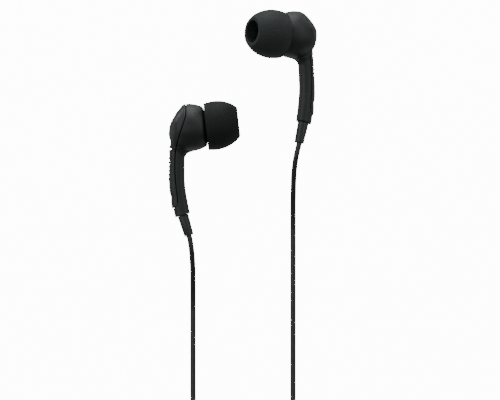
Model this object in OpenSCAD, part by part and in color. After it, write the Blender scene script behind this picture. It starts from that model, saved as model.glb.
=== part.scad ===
// Wired in-ear earphones: two stemmed earbuds with hollow silicone tips, a Y cord and a 3.5 mm plug.
// All sizes are in millimetres. The pair lies on a table, at z = 0, with the cord wound up beyond it.
//
// Earbud frame: x runs forward to the ear, z runs up, and the stem hangs down. Its origin is the
// middle of the bowl. Nozzle frame: z runs out along the nozzle from the middle of the front face.

/* [Ear tip] */
// Widest diameter of the silicone tip
tip_d = 11.8; // [11:0.1:13]
// Length of the tip from its base rim to its mouth
tip_len = 7.75; // [7.4:0.05:8.6]
// Diameter of the tip's base rim
tip_base_d = 11.3; // [10.8:0.1:12]
// Distance from the base rim to the widest place
tip_crown = 2.2; // [1.6:0.1:2.8]
// Diameter across the round bead at the mouth
tip_bead_d = 7.5; // [7.2:0.1:7.9]
// Wall of the skirt
tip_wall = 0.6; // [0.4:0.05:0.8]
// Wall of the sleeve that grips the nozzle
sleeve_wall = 0.6; // [0.4:0.05:0.8]

/* [Nozzle] */
// Upward tilt of the nozzle and the front face, in degrees
nozzle_tilt = 6.5; // [0:0.5:12]
// Height of the nozzle's axis above the bowl's middle, at the front face
nozzle_z = 0.3; // [0:0.05:0.5]
// Length of the nozzle in front of the face
nozzle_len = 5.2; // [4.4:0.1:5.8]
// Diameter of the lip that holds the tip
nozzle_lip_d = 5.5; // [5.2:0.1:5.7]
// Diameter of the neck behind the lip
nozzle_neck_d = 4.9; // [4.7:0.1:5.1]
// Diameter of the sound bore
nozzle_bore_d = 3.6; // [3:0.1:4]
// Diameter of the collar between the face and the tip
collar_d = 6.8; // [6.4:0.1:7.4]
// Thickness of the collar, which spaces the tip from the face
collar_t = 0.4; // [0.3:0.1:1]

/* [Bowl] */
// Diameter of the bowl at its widest
bowl_d = 11.6; // [11.4:0.1:12.2]
// Radius of the bowl's lengthwise crown
bowl_crown_r = 7.6; // [7.2:0.1:8.4]
// Distance from the bowl's middle to its front face
face_x = 3.75; // [3.5:0.05:3.9]
// Radius of the round rear dome
dome_r = 4.75; // [4.6:0.05:5]
// Slope of the cone between the bowl and the dome, in degrees
cone_slope = 51; // [48:1:54]
// How far the dome's sides reach behind its cone
dome_bulge = 0.1; // [0:0.05:0.2]
// How much narrower the dome is than the bowl, at each side
dome_taper = 0.05; // [0:0.05:0.2]
// Wall of the bowl
bowl_wall = 0.7; // [0.6:0.05:0.8]
// Gap between the front housing and the rear cover
seam_gap = 0.16; // [0.08:0.02:0.2]

/* [Stem] */
// Thickness of the stem from front to back
stem_depth = 3.57; // [3.4:0.01:3.8]
// Width of the stem across
stem_w = 3.35; // [3.2:0.05:3.6]
// Wall of the stem
stem_wall = 0.7; // [0.6:0.05:0.8]
// Radius of the fillet between bowl and stem
stem_fillet = 1.9; // [1.6:0.1:2.2]
// Height of the rear cover's lower end over the stem
cover_step = 0.3; // [0.15:0.05:0.4]
// Number of low grip ribs on the back of the stem
rib_count = 6; // [3:1:8]
// Distance between grip ribs
rib_pitch = 1.05; // [0.9:0.05:1.1]
// Height of a grip rib
rib_h = 0.16; // [0.08:0.02:0.24]

/* [Strain relief] */
// Forward tilt of the strain relief, in degrees
relief_tilt = 17; // [14:1:20]
// Length of the strain relief below the stem
relief_len = 5.4; // [4.5:0.1:7]
// Diameter at the stem
relief_top_d = 2.4; // [2.2:0.05:2.5]
// Diameter at the cord
relief_end_d = 2.0; // [1.6:0.05:2.2]

/* [Driver] */
// Diameter of the loudspeaker
driver_d = 8.4; // [8.2:0.05:8.6]
// Play between the loudspeaker and its pocket, all round
driver_play = 0.05; // [0.03:0.01:0.1]
// Diameter of the voice coil, at its middle
coil_d = 4.8; // [4.6:0.05:5]
// Thickness of the voice coil
coil_t = 0.24; // [0.18:0.02:0.3]
// Free gap on each side of the voice coil
magnet_gap = 0.17; // [0.14:0.01:0.22]
// Thickness of the magnet
magnet_h = 0.9; // [0.7:0.1:1]

/* [Cord] */
// Diameter of the cord to each earbud
branch_d = 1.1; // [0.9:0.05:1.25]
// Diameter of the main cord
main_d = 1.9; // [1.6:0.1:2.1]
// Free gap between neighbouring turns of a coil
turn_gap = 0.45; // [0.41:0.01:0.6]

/* [Plug] */
// Diameter of the plug's shaft
plug_d = 3.5; // [3.45:0.01:3.55]
// Length of the whole shaft
plug_len = 14; // [13.5:0.1:15]
// Diameter of the grip
grip_d = 6; // [5.4:0.1:6.6]
// Length of the grip
grip_len = 13; // [11:0.5:16]
// Length of the plug's strain relief
boot_len = 9; // [7:0.5:12]

/* [Hidden] */
SIDES = ["left", "right"];
EARBUD_NODES = [
  "ear_tip", "nozzle", "front_housing", "rear_cover", "nozzle_mesh", "damper_foam", "driver_grille",
  "driver_frame", "diaphragm_surround", "diaphragm_dome", "voice_coil", "pole_plate", "magnet",
  "yoke", "vent_cloth", "terminal_board", "lead_wires", "cord_clamp", "strain_relief",
  "upper_cord", "cord_coil", "coil_tie", "lower_cord"
];
SHARED_NODES = [
  "y_split", "main_cord", "main_coil", "main_tie", "plug_tail", "plug_strain_relief", "plug_grip",
  "plug_sleeve", "plug_ring", "plug_tip", "plug_insulators"
];
$fn = 72;

// ---- Small helpers

function mix(a, b, t) = a + (b - a) * t;
function unit(v) = v / norm(v);
function arc(centre, r, from, to, steps) =
  [for (i = [0:steps]) let (a = mix(from, to, i / steps)) centre + r * [cos(a), sin(a)]];
function move(v) = [[1, 0, 0, v.x], [0, 1, 0, v.y], [0, 0, 1, v.z], [0, 0, 0, 1]];
function turn_x(a) = [[1, 0, 0, 0], [0, cos(a), -sin(a), 0], [0, sin(a), cos(a), 0], [0, 0, 0, 1]];
function turn_y(a) = [[cos(a), 0, sin(a), 0], [0, 1, 0, 0], [-sin(a), 0, cos(a), 0], [0, 0, 0, 1]];
function turn_z(a) = [[cos(a), -sin(a), 0, 0], [sin(a), cos(a), 0, 0], [0, 0, 1, 0], [0, 0, 0, 1]];
function placed(m, p) = let (q = m * [p.x, p.y, p.z, 1]) [q.x, q.y, q.z];

// A smooth curve through hand-chosen points, with the given number of steps between neighbours
function spline_point(p, i, t) =
  let (
    a = p[max(i - 1, 0)], b = p[i], c = p[i + 1], d = p[min(i + 2, len(p) - 1)],
    m0 = (c - a) / 2, m1 = (d - b) / 2
  )
  (2 * t^3 - 3 * t^2 + 1) * b + (t^3 - 2 * t^2 + t) * m0
    + (3 * t^2 - 2 * t^3) * c + (t^3 - t^2) * m1;
function spline(p, steps) = concat(
  [for (i = [0:len(p) - 2], k = [0:steps - 1]) spline_point(p, i, k / steps)],
  [p[len(p) - 1]]
);

// A closed solid skinned over rings of points. All rings have as many points as the first, and
// run anticlockwise for someone who looks back along the loft.
module loft(rings) {
  n = len(rings[0]);
  last = len(rings) - 1;
  points = [for (ring = rings) each ring];
  skin = [
    for (i = [0:last - 1], k = [0:n - 1])
      let (a = i * n + k, b = i * n + (k + 1) % n)
        each [[a, a + n, b], [b, a + n, b + n]]
  ];
  start_cap = [for (k = [1:n - 2]) [0, k, k + 1]];
  end_cap = [for (k = [1:n - 2]) [last * n, last * n + k + 1, last * n + k]];
  polyhedron(points, concat(skin, start_cap, end_cap));
}

// The same, with each stretch between two rings a convex hull, for forms that booleans cut
module chain(rings) for (i = [1:len(rings) - 1]) hull() loft([rings[i - 1], rings[i]]);

// Rings of a round tube along a path, turned as little as possible from one point to the next
function tangent(path, i) = unit(path[min(i + 1, len(path) - 1)] - path[max(i - 1, 0)]);
function upright(t, up) = unit(up - (up * t) * t);
function ups(path, i, up) =
  i >= len(path) ? [] : let (u = upright(tangent(path, i), up)) concat([u], ups(path, i + 1, u));
function tube_rings(path, d, sides) =
  let (frames = ups(path, 0, [0, 0, 1]))
  [
    for (i = [0:len(path) - 1])
      let (u = frames[i], v = cross(tangent(path, i), u))
        [
          for (k = [0:sides - 1])
            let (a = 360 * (k + 0.5) / sides)
              path[i] + d / 2 * (cos(a) * u + sin(a) * v)
        ]
  ];
module tube(path, d, sides = 8) loft(tube_rings(path, d, sides));

// ---- Where the earbuds lie

// The left earbud lies on its side, on its tip, with the stem to the near side.
left_x = -13.08;
left_y = -1.09;
left_pose = move([left_x, left_y, tip_d / 2]) * turn_x(-90);
// The right earbud lies on its back and side, with the nozzle turned up and across.
right_x = 12.82;
right_y = 22.11;
right_z = 5.87;
right_yaw = -147.8;
right_pitch = -1.2;
right_roll = 2.5;
right_pose = move([right_x, right_y, right_z]) * turn_z(right_roll) * turn_x(right_pitch - 90)
  * turn_z(right_yaw);
function pose(side) = side == "left" ? left_pose : right_pose;
nozzle_pose = move([face_x, 0, nozzle_z]) * turn_y(90 - nozzle_tilt);

module in_nozzle() multmatrix(nozzle_pose) children();

// ---- Ear tip: an umbrella of silicone round a sleeve that slides over the nozzle

sleeve_play = 0.05;
sleeve_r = nozzle_lip_d / 2 + sleeve_play;
bead_r = (tip_bead_d / 2 - sleeve_r) / 2;
bead_mid = [sleeve_r + bead_r, tip_len - bead_r];
// Radius of the arc that passes the crown with the given drop at the given distance
function crown_radius(distance, drop) = (distance^2 + drop^2) / (2 * drop);
bead_lap = 0.12;
tip_front_r = crown_radius(tip_len - tip_crown - bead_r, tip_d / 2 - tip_bead_d / 2 - bead_lap);
tip_rear_r = crown_radius(tip_crown, (tip_d - tip_base_d) / 2);
// The web that joins skirt and sleeve, behind the mouth
web_back = 1.6;
web_t = 0.6;

module tip_profile() {
  front_mid = [tip_d / 2 - tip_front_r, tip_crown];
  rear_mid = [tip_d / 2 - tip_rear_r, tip_crown];
  front_end = asin((tip_len - bead_r - tip_crown) / tip_front_r);
  web_end = asin((tip_len - web_back - tip_crown) / (tip_front_r - tip_wall));
  rear_end = -asin(tip_crown / tip_rear_r);
  polygon(concat(
    arc(rear_mid, tip_rear_r, rear_end, 0, 4),
    arc(front_mid, tip_front_r, 2, front_end, 12),
    arc(bead_mid, bead_r, 40, 180, 10),
    [[sleeve_r, 0], [sleeve_r + sleeve_wall, 0], [sleeve_r + sleeve_wall, tip_len - web_back - web_t]],
    arc(front_mid, tip_front_r - tip_wall, web_end, 2, 10),
    arc(rear_mid, tip_rear_r - tip_wall, 0, rear_end, 4)
  ));
}

module ear_tip() color("#1e1f20") in_nozzle() translate([0, 0, collar_t]) rotate_extrude() tip_profile();

// ---- Housing form: a bowl turned about x, with a round dome behind and a stem below

bowl_mid = [-0.4, bowl_d / 2 - bowl_crown_r];
cone_normal = [-sin(cone_slope), cos(cone_slope)];
// Where the bowl's crown meets the rear cone, for a form set in by a wall
function bowl_corner(inset) =
  let (
    reach = dome_r - inset - cone_normal * bowl_mid,
    half = sqrt((bowl_crown_r - inset)^2 - reach^2)
  )
  bowl_mid + reach * cone_normal + half * [cos(cone_slope), sin(cone_slope)];
function bowl_angle(p) = atan2(p.y - bowl_mid.y, p.x - bowl_mid.x);

module bowl_form(inset, front_x, steps = 8) {
  corner = bowl_corner(inset);
  front_angle = acos((front_x - bowl_mid.x) / (bowl_crown_r - inset));
  // the profile is (radius, x)
  outline = concat(
    [[front_x, 0]],
    arc(bowl_mid, bowl_crown_r - inset, front_angle, bowl_angle(corner), steps),
    [[corner.x, 0]]
  );
  rotate([0, 90, 0]) rotate_extrude() polygon([for (p = outline) [p.y, p.x]]);
}

// Behind the crown, the bowl is fuller to the sides and below than above, where the cone cuts it
dome_swell = 2.6;
function dome_half_w(x, inset) =
  let (end = dome_r + dome_bulge - inset)
  (bowl_d / 2 - dome_taper - inset) * pow(max(1 - pow(-x / end, dome_swell), 0), 1 / dome_swell);
function dome_top(x, inset) =
  let (r = dome_r - inset)
  x > -r * sin(cone_slope) ? (r - x * cone_normal.x) / cone_normal.y : sqrt(max(r^2 - x^2, 0));
function dome_section(x, inset, sides) =
  [
    for (k = [0:sides - 1])
      let (a = -360 * k / sides, w = dome_half_w(x, inset), top = min(dome_top(x, inset), w))
        [x, w * cos(a), (sin(a) > 0 ? top : w) * sin(a)]
  ];
// It starts inside the bowl, a little ahead of the crown's rear edge
dome_lap = 0.3;
dome_stations = [0.4, 0.55, 0.7, 0.82, 0.91, 0.97, 0.997];
module dome_form(inset, sides) {
  end = dome_r + dome_bulge - inset;
  start = bowl_corner(inset).x + dome_lap;
  chain([for (x = concat([start], -end * dome_stations)) dome_section(x, inset, sides)]);
}

// The face is flat, tilted and softly rounded at its edge
face_r = 4.75;
face_round = 0.45;
module face_cap() in_nozzle() rotate_extrude() polygon(concat(
  [[0, -3 * bowl_d], [2 * bowl_d, -3 * bowl_d], [2 * bowl_d, face_r - 2 * bowl_d]],
  arc([face_r - face_round, -face_round], face_round, 30, 90, 4),
  [[0, 0]]
));

// Stem sections: the front and back edges are smooth curves through a few heights
stem_front_x = -1.53;
stem_back_x = stem_front_x - stem_depth;
bend_points = [[-13, 0], [-15.5, 0.25], [-18, 0.66], [-20.5, 1.15], [-23.5, 1.85]];
bend_curve = spline(bend_points, 4);
function bend(z) = z > bend_points[0].x ? 0 : lookup(z, bend_curve);
fillet_z = -7.8;
// The fillets stop inside the bowl, before they turn level
fillet_h = 1.86;
side_fillet_h = 1.7;
fillet_stop = 0.4;
function flare(z, z0) =
  z <= z0 ? 0 : stem_fillet - sqrt(max(stem_fillet^2 - (z - z0)^2, fillet_stop^2));
function stem_front(z) = stem_front_x + bend(z) + flare(min(z, fillet_z + fillet_h), fillet_z);
side_fillet_z = -sqrt((bowl_d / 2 + stem_fillet)^2 - (stem_w / 2 + stem_fillet)^2);
function stem_half_w(z) = stem_w / 2 + flare(min(z, side_fillet_z + side_fillet_h), side_fillet_z);
// The back leans forward into the dome, and the cover grows thicker towards its lower end
dome_end_z = 1.6;
lean_z = -1.2;
lean = 0.075;
step_top_z = -14;
step_run = 5.5;
function stem_back(z, step) =
  stem_back_x + bend(z) + lean * max(z - lean_z, 0)^2 - step * min(max((step_top_z - z) / step_run, 0), 1);

// One section: a soft square, flatter than an ellipse
soft_square = 2.3;
function soft(v) = sign(v) * pow(abs(v), 2 / soft_square);
function stem_section(z, inset, step, sides) =
  let (
    front = stem_front(z) - inset, back = stem_back(z, step) + inset,
    mid = (front + back) / 2, half = (front - back) / 2, half_w = stem_half_w(z) - inset
  )
  [for (k = [0:sides - 1]) let (a = 360 * k / sides) [mid + half * soft(cos(a)), half_w * soft(sin(a)), z]];
stem_heights = [
  -23.5, -21.8, -20, -18, -16, -14.5, -13, -7.9, -7.2, -6.7, -6.2, -5.7, -5.2, -3, -1.2, 0.2, dome_end_z
];
module stem_form(step = 0) chain([for (z = stem_heights) stem_section(z, 0, step, 18)]);

// The end of the stem is square to the strain relief
relief_base = [-1.82, 0, -21.75];
relief_pose = move(relief_base) * turn_y(180 - relief_tilt);
module in_relief() multmatrix(relief_pose) children();
module below_stem() in_relief() cylinder(r = bowl_d, h = bowl_d);

HOUSING_FN = 40;
module housing_form(step = 0) {
  $fn = HOUSING_FN;
  difference() {
    union() {
      intersection() {
        bowl_form(0, bowl_mid.x + bowl_crown_r * 0.75);
        face_cap();
      }
      dome_form(0, 24);
      stem_form(step);
    }
    below_stem();
  }
}

// ---- Hollows inside the housing

pocket_depth = 1.2;
pocket_r = driver_d / 2 + driver_play;
pocket_end = 4.6;
chamber_front = 0.4;
channel_heights = [-20.25, -18, -15.5, -13, -6, -3, 0];
module hollows() {
  $fn = HOUSING_FN;
  in_nozzle() translate([0, 0, -pocket_end]) cylinder(r = pocket_r, h = pocket_end - pocket_depth);
  bowl_form(bowl_wall, chamber_front, 4);
  dome_form(bowl_wall, 16);
  chain([for (z = channel_heights) stem_section(z, stem_wall, 0, 12)]);
  relief_seat();
}

// ---- Parting surface between front housing and rear cover, as (height, x)

seam_points = [
  [8, -1.1], [5.4, -1.05], [4, -0.98], [2.6, -1.1], [0.6, -1.72], [-2, -2.58], [-4.4, -3.25],
  [-6.1, -3.6], [-8.5, -3.75], [-11, -3.75], [-14.4, -3.5], [-16.8, -3.2], [-18.4, -3.05],
  [-19.1, -3.2], [-19.5, -3.6], [-19.9, -4.2], [-20.2, -4.8], [-20.6, -6]
];
module behind_seam(shift) {
  curve = spline(seam_points, 2);
  outline = concat([for (p = curve) [p.y + shift, p.x]], [[-2 * bowl_d, -20.6], [-2 * bowl_d, 8]]);
  rotate([90, 0, 0]) linear_extrude(4 * bowl_d, center = true) polygon(outline);
}

// ---- Nozzle: a flanged tube, pressed through the face

lip_len = 1;
lip_cone = 0.35;
mesh_seat_d = 4.2;
mesh_t = 0.3;
flange_d = 7.6;
flange_t = 0.4;
module nozzle() color("#2a2c2d") in_nozzle() rotate_extrude() polygon([
  [nozzle_bore_d / 2, -pocket_depth], [flange_d / 2, -pocket_depth],
  [flange_d / 2, flange_t - pocket_depth], [collar_d / 2, flange_t - pocket_depth],
  [collar_d / 2, collar_t], [nozzle_neck_d / 2, collar_t],
  [nozzle_neck_d / 2, nozzle_len - lip_len - lip_cone], [nozzle_lip_d / 2, nozzle_len - lip_len],
  [nozzle_lip_d / 2, nozzle_len - lip_cone], [nozzle_lip_d / 2 - lip_cone, nozzle_len],
  [mesh_seat_d / 2, nozzle_len], [mesh_seat_d / 2, nozzle_len - mesh_t],
  [nozzle_bore_d / 2, nozzle_len - mesh_t]
]);
// Play round the nozzle in its hole
nozzle_play = 0.03;
module nozzle_hole() in_nozzle() {
  translate([0, 0, -pocket_depth - 0.5])
    cylinder(d = flange_d + 2 * nozzle_play, h = 0.5 + flange_t + nozzle_play);
  translate([0, 0, -pocket_depth]) cylinder(d = collar_d + 2 * nozzle_play, h = 2 * pocket_depth);
}

// ---- Front housing

module front_housing() color("#2e3031") difference() {
  housing_form();
  behind_seam(seam_gap / 2);
  hollows();
  nozzle_hole();
}

// ---- Rear cover, with a vent slot and low ribs on the back of the stem

vent_z = -5.4;
vent_h = 0.5;
vent_depth = 0.5;
rib_top_z = -7.4;
rib_w = 1.2;
rib_t = 0.5;
recess_z = -3.8;
recess_r = 3.6;
recess_depth = 0.3;
module rear_cover() color("#2c2e2f") difference() {
  union() {
    intersection() {
      housing_form(cover_step);
      behind_seam(-seam_gap / 2);
    }
    for (k = [0:rib_count - 1])
      translate([stem_back_x - rib_h, -rib_w / 2, rib_top_z - k * rib_pitch - rib_t])
        cube([0.5, rib_w, rib_t]);
  }
  hollows();
  translate([stem_back_x - 1, -stem_w, vent_z - vent_h / 2]) cube([1 + vent_depth, 2 * stem_w, vent_h]);
  translate([stem_back_x + recess_depth - recess_r, 0, recess_z]) rotate([90, 0, 0])
    cylinder(r = recess_r, h = 2 * stem_w, center = true);
}

// ---- Sound path parts

module nozzle_mesh() color("#6d6f70") in_nozzle() translate([0, 0, nozzle_len - mesh_t]) difference() {
  cylinder(d = mesh_seat_d - 0.04, h = 0.15);
  for (x = [-0.9, 0, 0.9], y = [-0.9, 0, 0.9]) translate([x, y, -1]) cylinder(d = 0.5, h = 2);
}

foam_t = 1.4;
module damper_foam() color("#55585a") in_nozzle() translate([0, 0, 1])
  cylinder(d = nozzle_bore_d, h = foam_t);

// ---- Driver, from its grille to its terminal board, measured back from the pocket's seat

grille_t = 0.2;
surround_depth = 0.75;
film_t = 0.1;
coil_h = 1.2;
plate_depth = 1.2;
plate_t = 0.35;
yoke_wall = 0.6;
yoke_base = 0.35;
frame_depth = 3;
frame_waist_r = 3.75;
coil_in = (coil_d - coil_t) / 2;
coil_out = (coil_d + coil_t) / 2;
plate_r = coil_in - magnet_gap;
yoke_in = coil_out + magnet_gap;
yoke_out = yoke_in + yoke_wall;
yoke_end = plate_depth + plate_t + magnet_h + yoke_base;
surround_play = 0.04;
edge_r = driver_d / 2 - 0.3;
// Children are drawn with z running back into the bowl from the driver's seat
module in_driver() in_nozzle() translate([0, 0, -pocket_depth]) rotate([180, 0, 0]) children();

grille_hole_d = 1;
grille_hole_r = 2.2;
module driver_grille() color("#8b8d8f") in_driver() difference() {
  cylinder(d = driver_d, h = grille_t);
  translate([0, 0, -1]) cylinder(d = grille_hole_d, h = 3);
  for (k = [0:5]) rotate(60 * k) translate([grille_hole_r, 0, -1]) cylinder(d = grille_hole_d, h = 3);
}

module driver_frame() color("#3a3c3e") in_driver() difference() {
  rotate_extrude() polygon([
    [yoke_out, frame_depth], [yoke_out, surround_depth + 0.5], [edge_r - 0.5, surround_depth + film_t],
    [edge_r, surround_depth + film_t], [edge_r, grille_t], [driver_d / 2, grille_t],
    [driver_d / 2, surround_depth + 0.9], [frame_waist_r, surround_depth + 1.5],
    [frame_waist_r, frame_depth]
  ]);
  for (k = [0:3]) rotate(45 + 90 * k) translate([frame_waist_r - 0.5, 0, surround_depth + 1.3])
    rotate([0, 90, 0]) cylinder(d = 0.7, h = 2);
}

// A half-round roll between the driver's frame and the dome
module diaphragm_surround() color("#b9b08f") in_driver() rotate_extrude() {
  roll_in = coil_out + 0.12 + surround_play;
  roll_mid = [(roll_in + edge_r - 0.35) / 2, surround_depth];
  roll_r = (edge_r - 0.35 - roll_in) / 2;
  polygon(concat(
    [[edge_r, surround_depth], [edge_r, surround_depth + film_t]],
    [for (k = [0:8]) roll_mid + [roll_r * cos(22.5 * k), film_t - 0.28 * sin(22.5 * k)]],
    [for (k = [8:-1:0]) roll_mid + [roll_r * cos(22.5 * k), -0.28 * sin(22.5 * k)]]
  ));
}

module diaphragm_dome() color("#cfc39a") in_driver() rotate_extrude() {
  rim = coil_out + 0.12;
  rise = 0.35;
  polygon(concat(
    [[rim, surround_depth], [rim, surround_depth + film_t]],
    [for (k = [0:8]) let (t = 1 - k / 8) [coil_in * t, surround_depth + film_t - rise * (1 - t^2)]],
    [for (k = [8:-1:0]) let (t = 1 - k / 8) [coil_in * t, surround_depth - rise * (1 - t^2)]]
  ));
}

module voice_coil() color("#b06a35") in_driver() translate([0, 0, surround_depth + film_t]) difference() {
  cylinder(r = coil_out, h = coil_h);
  translate([0, 0, -1]) cylinder(r = coil_in, h = coil_h + 2);
}

vent_r = 0.5;
module pole_plate() color("#8f9193") in_driver() translate([0, 0, plate_depth]) difference() {
  cylinder(r = plate_r, h = plate_t);
  translate([0, 0, -1]) cylinder(r = vent_r, h = 3);
}

module magnet() color("#a9abad") in_driver() translate([0, 0, plate_depth + plate_t]) difference() {
  cylinder(r = plate_r - 0.05, h = magnet_h);
  translate([0, 0, -1]) cylinder(r = vent_r + 0.1, h = 3);
}

module yoke() color("#9a9c9e") in_driver() difference() {
  translate([0, 0, plate_depth]) cylinder(r = yoke_out, h = yoke_end - plate_depth);
  translate([0, 0, plate_depth - 1]) cylinder(r = yoke_in, h = 1 + plate_t + magnet_h);
  cylinder(r = vent_r, h = yoke_end + 1);
}

module vent_cloth() color("#dcdcd6") in_driver() translate([0, 0, yoke_end])
  cylinder(r = 2 * vent_r, h = 0.12);

board_t = 0.3;
board_start = 1.9;
board_h = 2.4;
board_w = 3.4;
board_hole_x = 2.7;
board_hole_y = 0.9;
module terminal_board() color("#2f6b3c") in_driver() translate([0, 0, frame_depth]) difference() {
  intersection() {
    cylinder(r = frame_waist_r, h = board_t);
    translate([board_start, -board_w / 2, 0]) cube([board_h, board_w, board_t]);
  }
  for (y = [-1, 1]) translate([board_hole_x, y * board_hole_y, -1]) cylinder(d = 0.35, h = 3);
}

// ---- Cord end inside the stem

clamp_r = 0.7;
clamp_len = 2;
clamp_up = 1.6;
module cord_clamp() color("#b5b7b9") in_relief() translate([0, 0, -clamp_up - clamp_len]) difference() {
  cylinder(r = clamp_r, h = clamp_len);
  for (z = [0.5, 1.3]) translate([0, 0, z]) rotate_extrude() translate([clamp_r, 0]) circle(r = 0.16);
}

board_mid = placed(nozzle_pose, [board_hole_x, 0, -pocket_depth - frame_depth - board_t]);
clamp_top = placed(relief_pose, [0, 0, -clamp_up - clamp_len]);
stem_mid_x = stem_back_x + stem_depth / 2;
wire_d = 0.3;
wire_turn = [-1.1, -0.4];
wire_heights = [-6.5, -10, -14];
module lead_wires() color("#a3562c") for (y = [-wire_d, wire_d]) {
  wire = [
    board_mid + [0, 3 * y, 0], board_mid + [wire_turn.x, 2.4 * y, wire_turn.y],
    [stem_mid_x + 0.2, 1.5 * y, wire_heights[0]], [stem_mid_x, y, wire_heights[1]],
    [stem_mid_x, y, wire_heights[2]], clamp_top + [0, y, 0]
  ];
  tube(wire, wire_d, 6);
}

head_r = 1.25;
head_len = 0.8;
end_wall = 0.8;
relief_play = 0.03;
module relief_seat() in_relief() {
  translate([0, 0, -end_wall - head_len - 0.3]) cylinder(r = head_r + relief_play, h = head_len + 0.3);
  translate([0, 0, -2]) cylinder(d = relief_top_d - 0.5 + 2 * relief_play, h = 4);
}

module strain_relief() color("#1b1c1d") in_relief() rotate_extrude() polygon([
  [0, -end_wall - head_len], [head_r, -end_wall - head_len], [head_r, -end_wall],
  [relief_top_d / 2 - 0.25, -end_wall], [relief_top_d / 2 - 0.25, 0], [relief_top_d / 2, 0],
  [relief_end_d / 2, relief_len - 0.15], [relief_end_d / 2 - 0.15, relief_len], [0, relief_len]
]);

// ---- Coils: the cord winds in and out again, layer on layer, and climbs in the half turn where
// the spiral turns back. Turns are counted from where the cord comes in.

RINGS_PER_LOOP = 24;
COIL_SIDES = 6;
tie_t = 0.35;
tie_w = 2.5;
tie_play = 0.25;
tie_slack = 0.05;
coil_lift = tie_t + tie_slack;

// A coil is [loops, layers, cord, mean diameter, middle, angle where it starts, way it turns]
branch_loops = 5.25;
main_loops = 12;
left_coil = [branch_loops, 2, branch_d, 13.2, [-10.4, -87], 180, 1];
right_coil = [branch_loops, 2, branch_d, 12, [10.4, -87], 0, -1];
main_coil_wind = [main_loops, 4, main_d, 22, [-5, -134.5], 0, -1];
function coil_of(side) = side == "left" ? left_coil : right_coil;

function total(v, i = 0) = i >= len(v) ? 0 : v[i] + total(v, i + 1);
function ease(t) = let (u = min(max(t, 0), 1)) u * u * (3 - 2 * u);
function coil_pitch(c) = c[2] + turn_gap;
function coil_outer(c) = c[3] / 2 + c[0] / c[1] * coil_pitch(c) / 2;
function coil_point(c, turn) =
  let (
    per_layer = c[0] / c[1],
    phase = turn / per_layer,
    fold = abs(phase - 2 * round(phase / 2)),
    r = coil_outer(c) - fold * per_layer * coil_pitch(c),
    climbs = [for (k = [1:c[1] - 1]) ease(2 * (turn - k * per_layer) + 0.5)],
    z = coil_lift + c[2] / 2 + total(climbs) * coil_pitch(c),
    a = c[5] + c[6] * 360 * turn
  )
  [c[4].x + r * cos(a), c[4].y + r * sin(a), z];
function coil_way(c, turn) = let (a = c[5] + c[6] * (360 * turn + 90)) [cos(a), sin(a), 0];
// The wound tube's ends run straight for one diameter
function coil_start(c, diameters = 1) = coil_point(c, 0) - diameters * c[2] * coil_way(c, 0);
function coil_end(c, diameters = 1) = coil_point(c, c[0]) + diameters * c[2] * coil_way(c, c[0]);
function coil_path(c) = concat(
  [coil_start(c)],
  [for (i = [0:c[0] * RINGS_PER_LOOP]) coil_point(c, i / RINGS_PER_LOOP)],
  [coil_end(c)]
);
// Least free gap between turns, measured from ring to ring at least half a turn apart
function least_gap(path, d) = min([
  for (i = [0:len(path) - 1]) for (j = [i + RINGS_PER_LOOP / 2:1:len(path) - 1]) norm(path[i] - path[j])
]) - d;
function path_length(path) = total([for (i = [1:len(path) - 1]) norm(path[i] - path[i - 1])]);

module wound(c) {
  path = coil_path(c);
  echo(least_gap_mm = least_gap(path, c[2]), length_mm = path_length(path));
  tube(path, c[2], COIL_SIDES);
}

// A flat band round all the turns of a coil at one place
module tie(c, at) {
  w = c[0] / c[1] * coil_pitch(c) + c[2] + 2 * tie_play;
  h = (c[1] - 1) * coil_pitch(c) + c[2] + 2 * tie_slack;
  translate([c[4].x, c[4].y, tie_t + h / 2]) rotate(at) translate([c[3] / 2, 0, 0]) rotate([90, 0, 0])
    linear_extrude(tie_w, center = true) difference() {
      square([w + 2 * tie_t, h + 2 * tie_t], center = true);
      square([w, h], center = true);
    }
}

// ---- Cord routes on the table: points chosen by hand, except at the pieces that they join

relief_end = [0, 0, relief_len];
function relief_exit(side, ahead) = placed(pose(side) * relief_pose, relief_end + [0, 0, ahead]);

left_route = [
  [-12.7, -31, 5.7], [-12.5, -33, 5.2], [-12.35, -35.5, 4.3], [-12.3, -38, 3.2], [-12.3, -40.5, 2.2],
  [-12.3, -43, 1.4], [-12.3, -46, 0.8], [-12.3, -49, 0.55], [-12.3, -52, 0.55], [-12.3, -55, 0.55],
  [-12.3, -58, 0.55], [-12.3, -61, 0.55], [-12.3, -64, 0.55], [-12.3, -67, 0.55], [-12.3, -70, 0.55],
  [-12.8, -73, 0.6], [-14.4, -76.2, 0.7], [-16.8, -79, 0.8], [-18.5, -81.8, 0.9]
];
right_route = [
  [13.45, -8, 6.4], [13.1, -10.2, 5.9], [12.85, -12.6, 5.1], [12.75, -15, 4.2], [12.7, -17.5, 3.3],
  [12.65, -20, 2.4], [12.65, -23, 1.5], [12.65, -26, 0.85], [12.65, -29, 0.55], [12.65, -32, 0.55],
  [12.65, -35, 0.55], [12.65, -38, 0.55], [12.65, -41, 0.55], [12.65, -44, 0.55], [12.65, -47, 0.55],
  [12.65, -50, 0.55], [12.65, -53, 0.55], [12.65, -56, 0.55], [12.65, -59, 0.55], [12.65, -62, 0.55],
  [12.65, -65, 0.55], [12.65, -68, 0.55], [12.7, -71, 0.55], [13.3, -74, 0.6], [14.9, -76.8, 0.7],
  [17, -79.4, 0.8], [18.2, -82, 0.9]
];
left_lower_route = [[-6.8, -95.9, 2.5], [-4.4, -97, 2.3], [-2.6, -98.9, 2], [-1.6, -101, 1.7]];
right_lower_route = [[7, -95.3, 2.5], [4.5, -96.5, 2.3], [2.6, -98.6, 2], [1.6, -101, 1.7]];
main_route = [[1.3, -118.2, 1.6], [5.2, -120.35, 1.5], [8.3, -123.4, 1.4], [9.4, -127, 1.4]];
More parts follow.
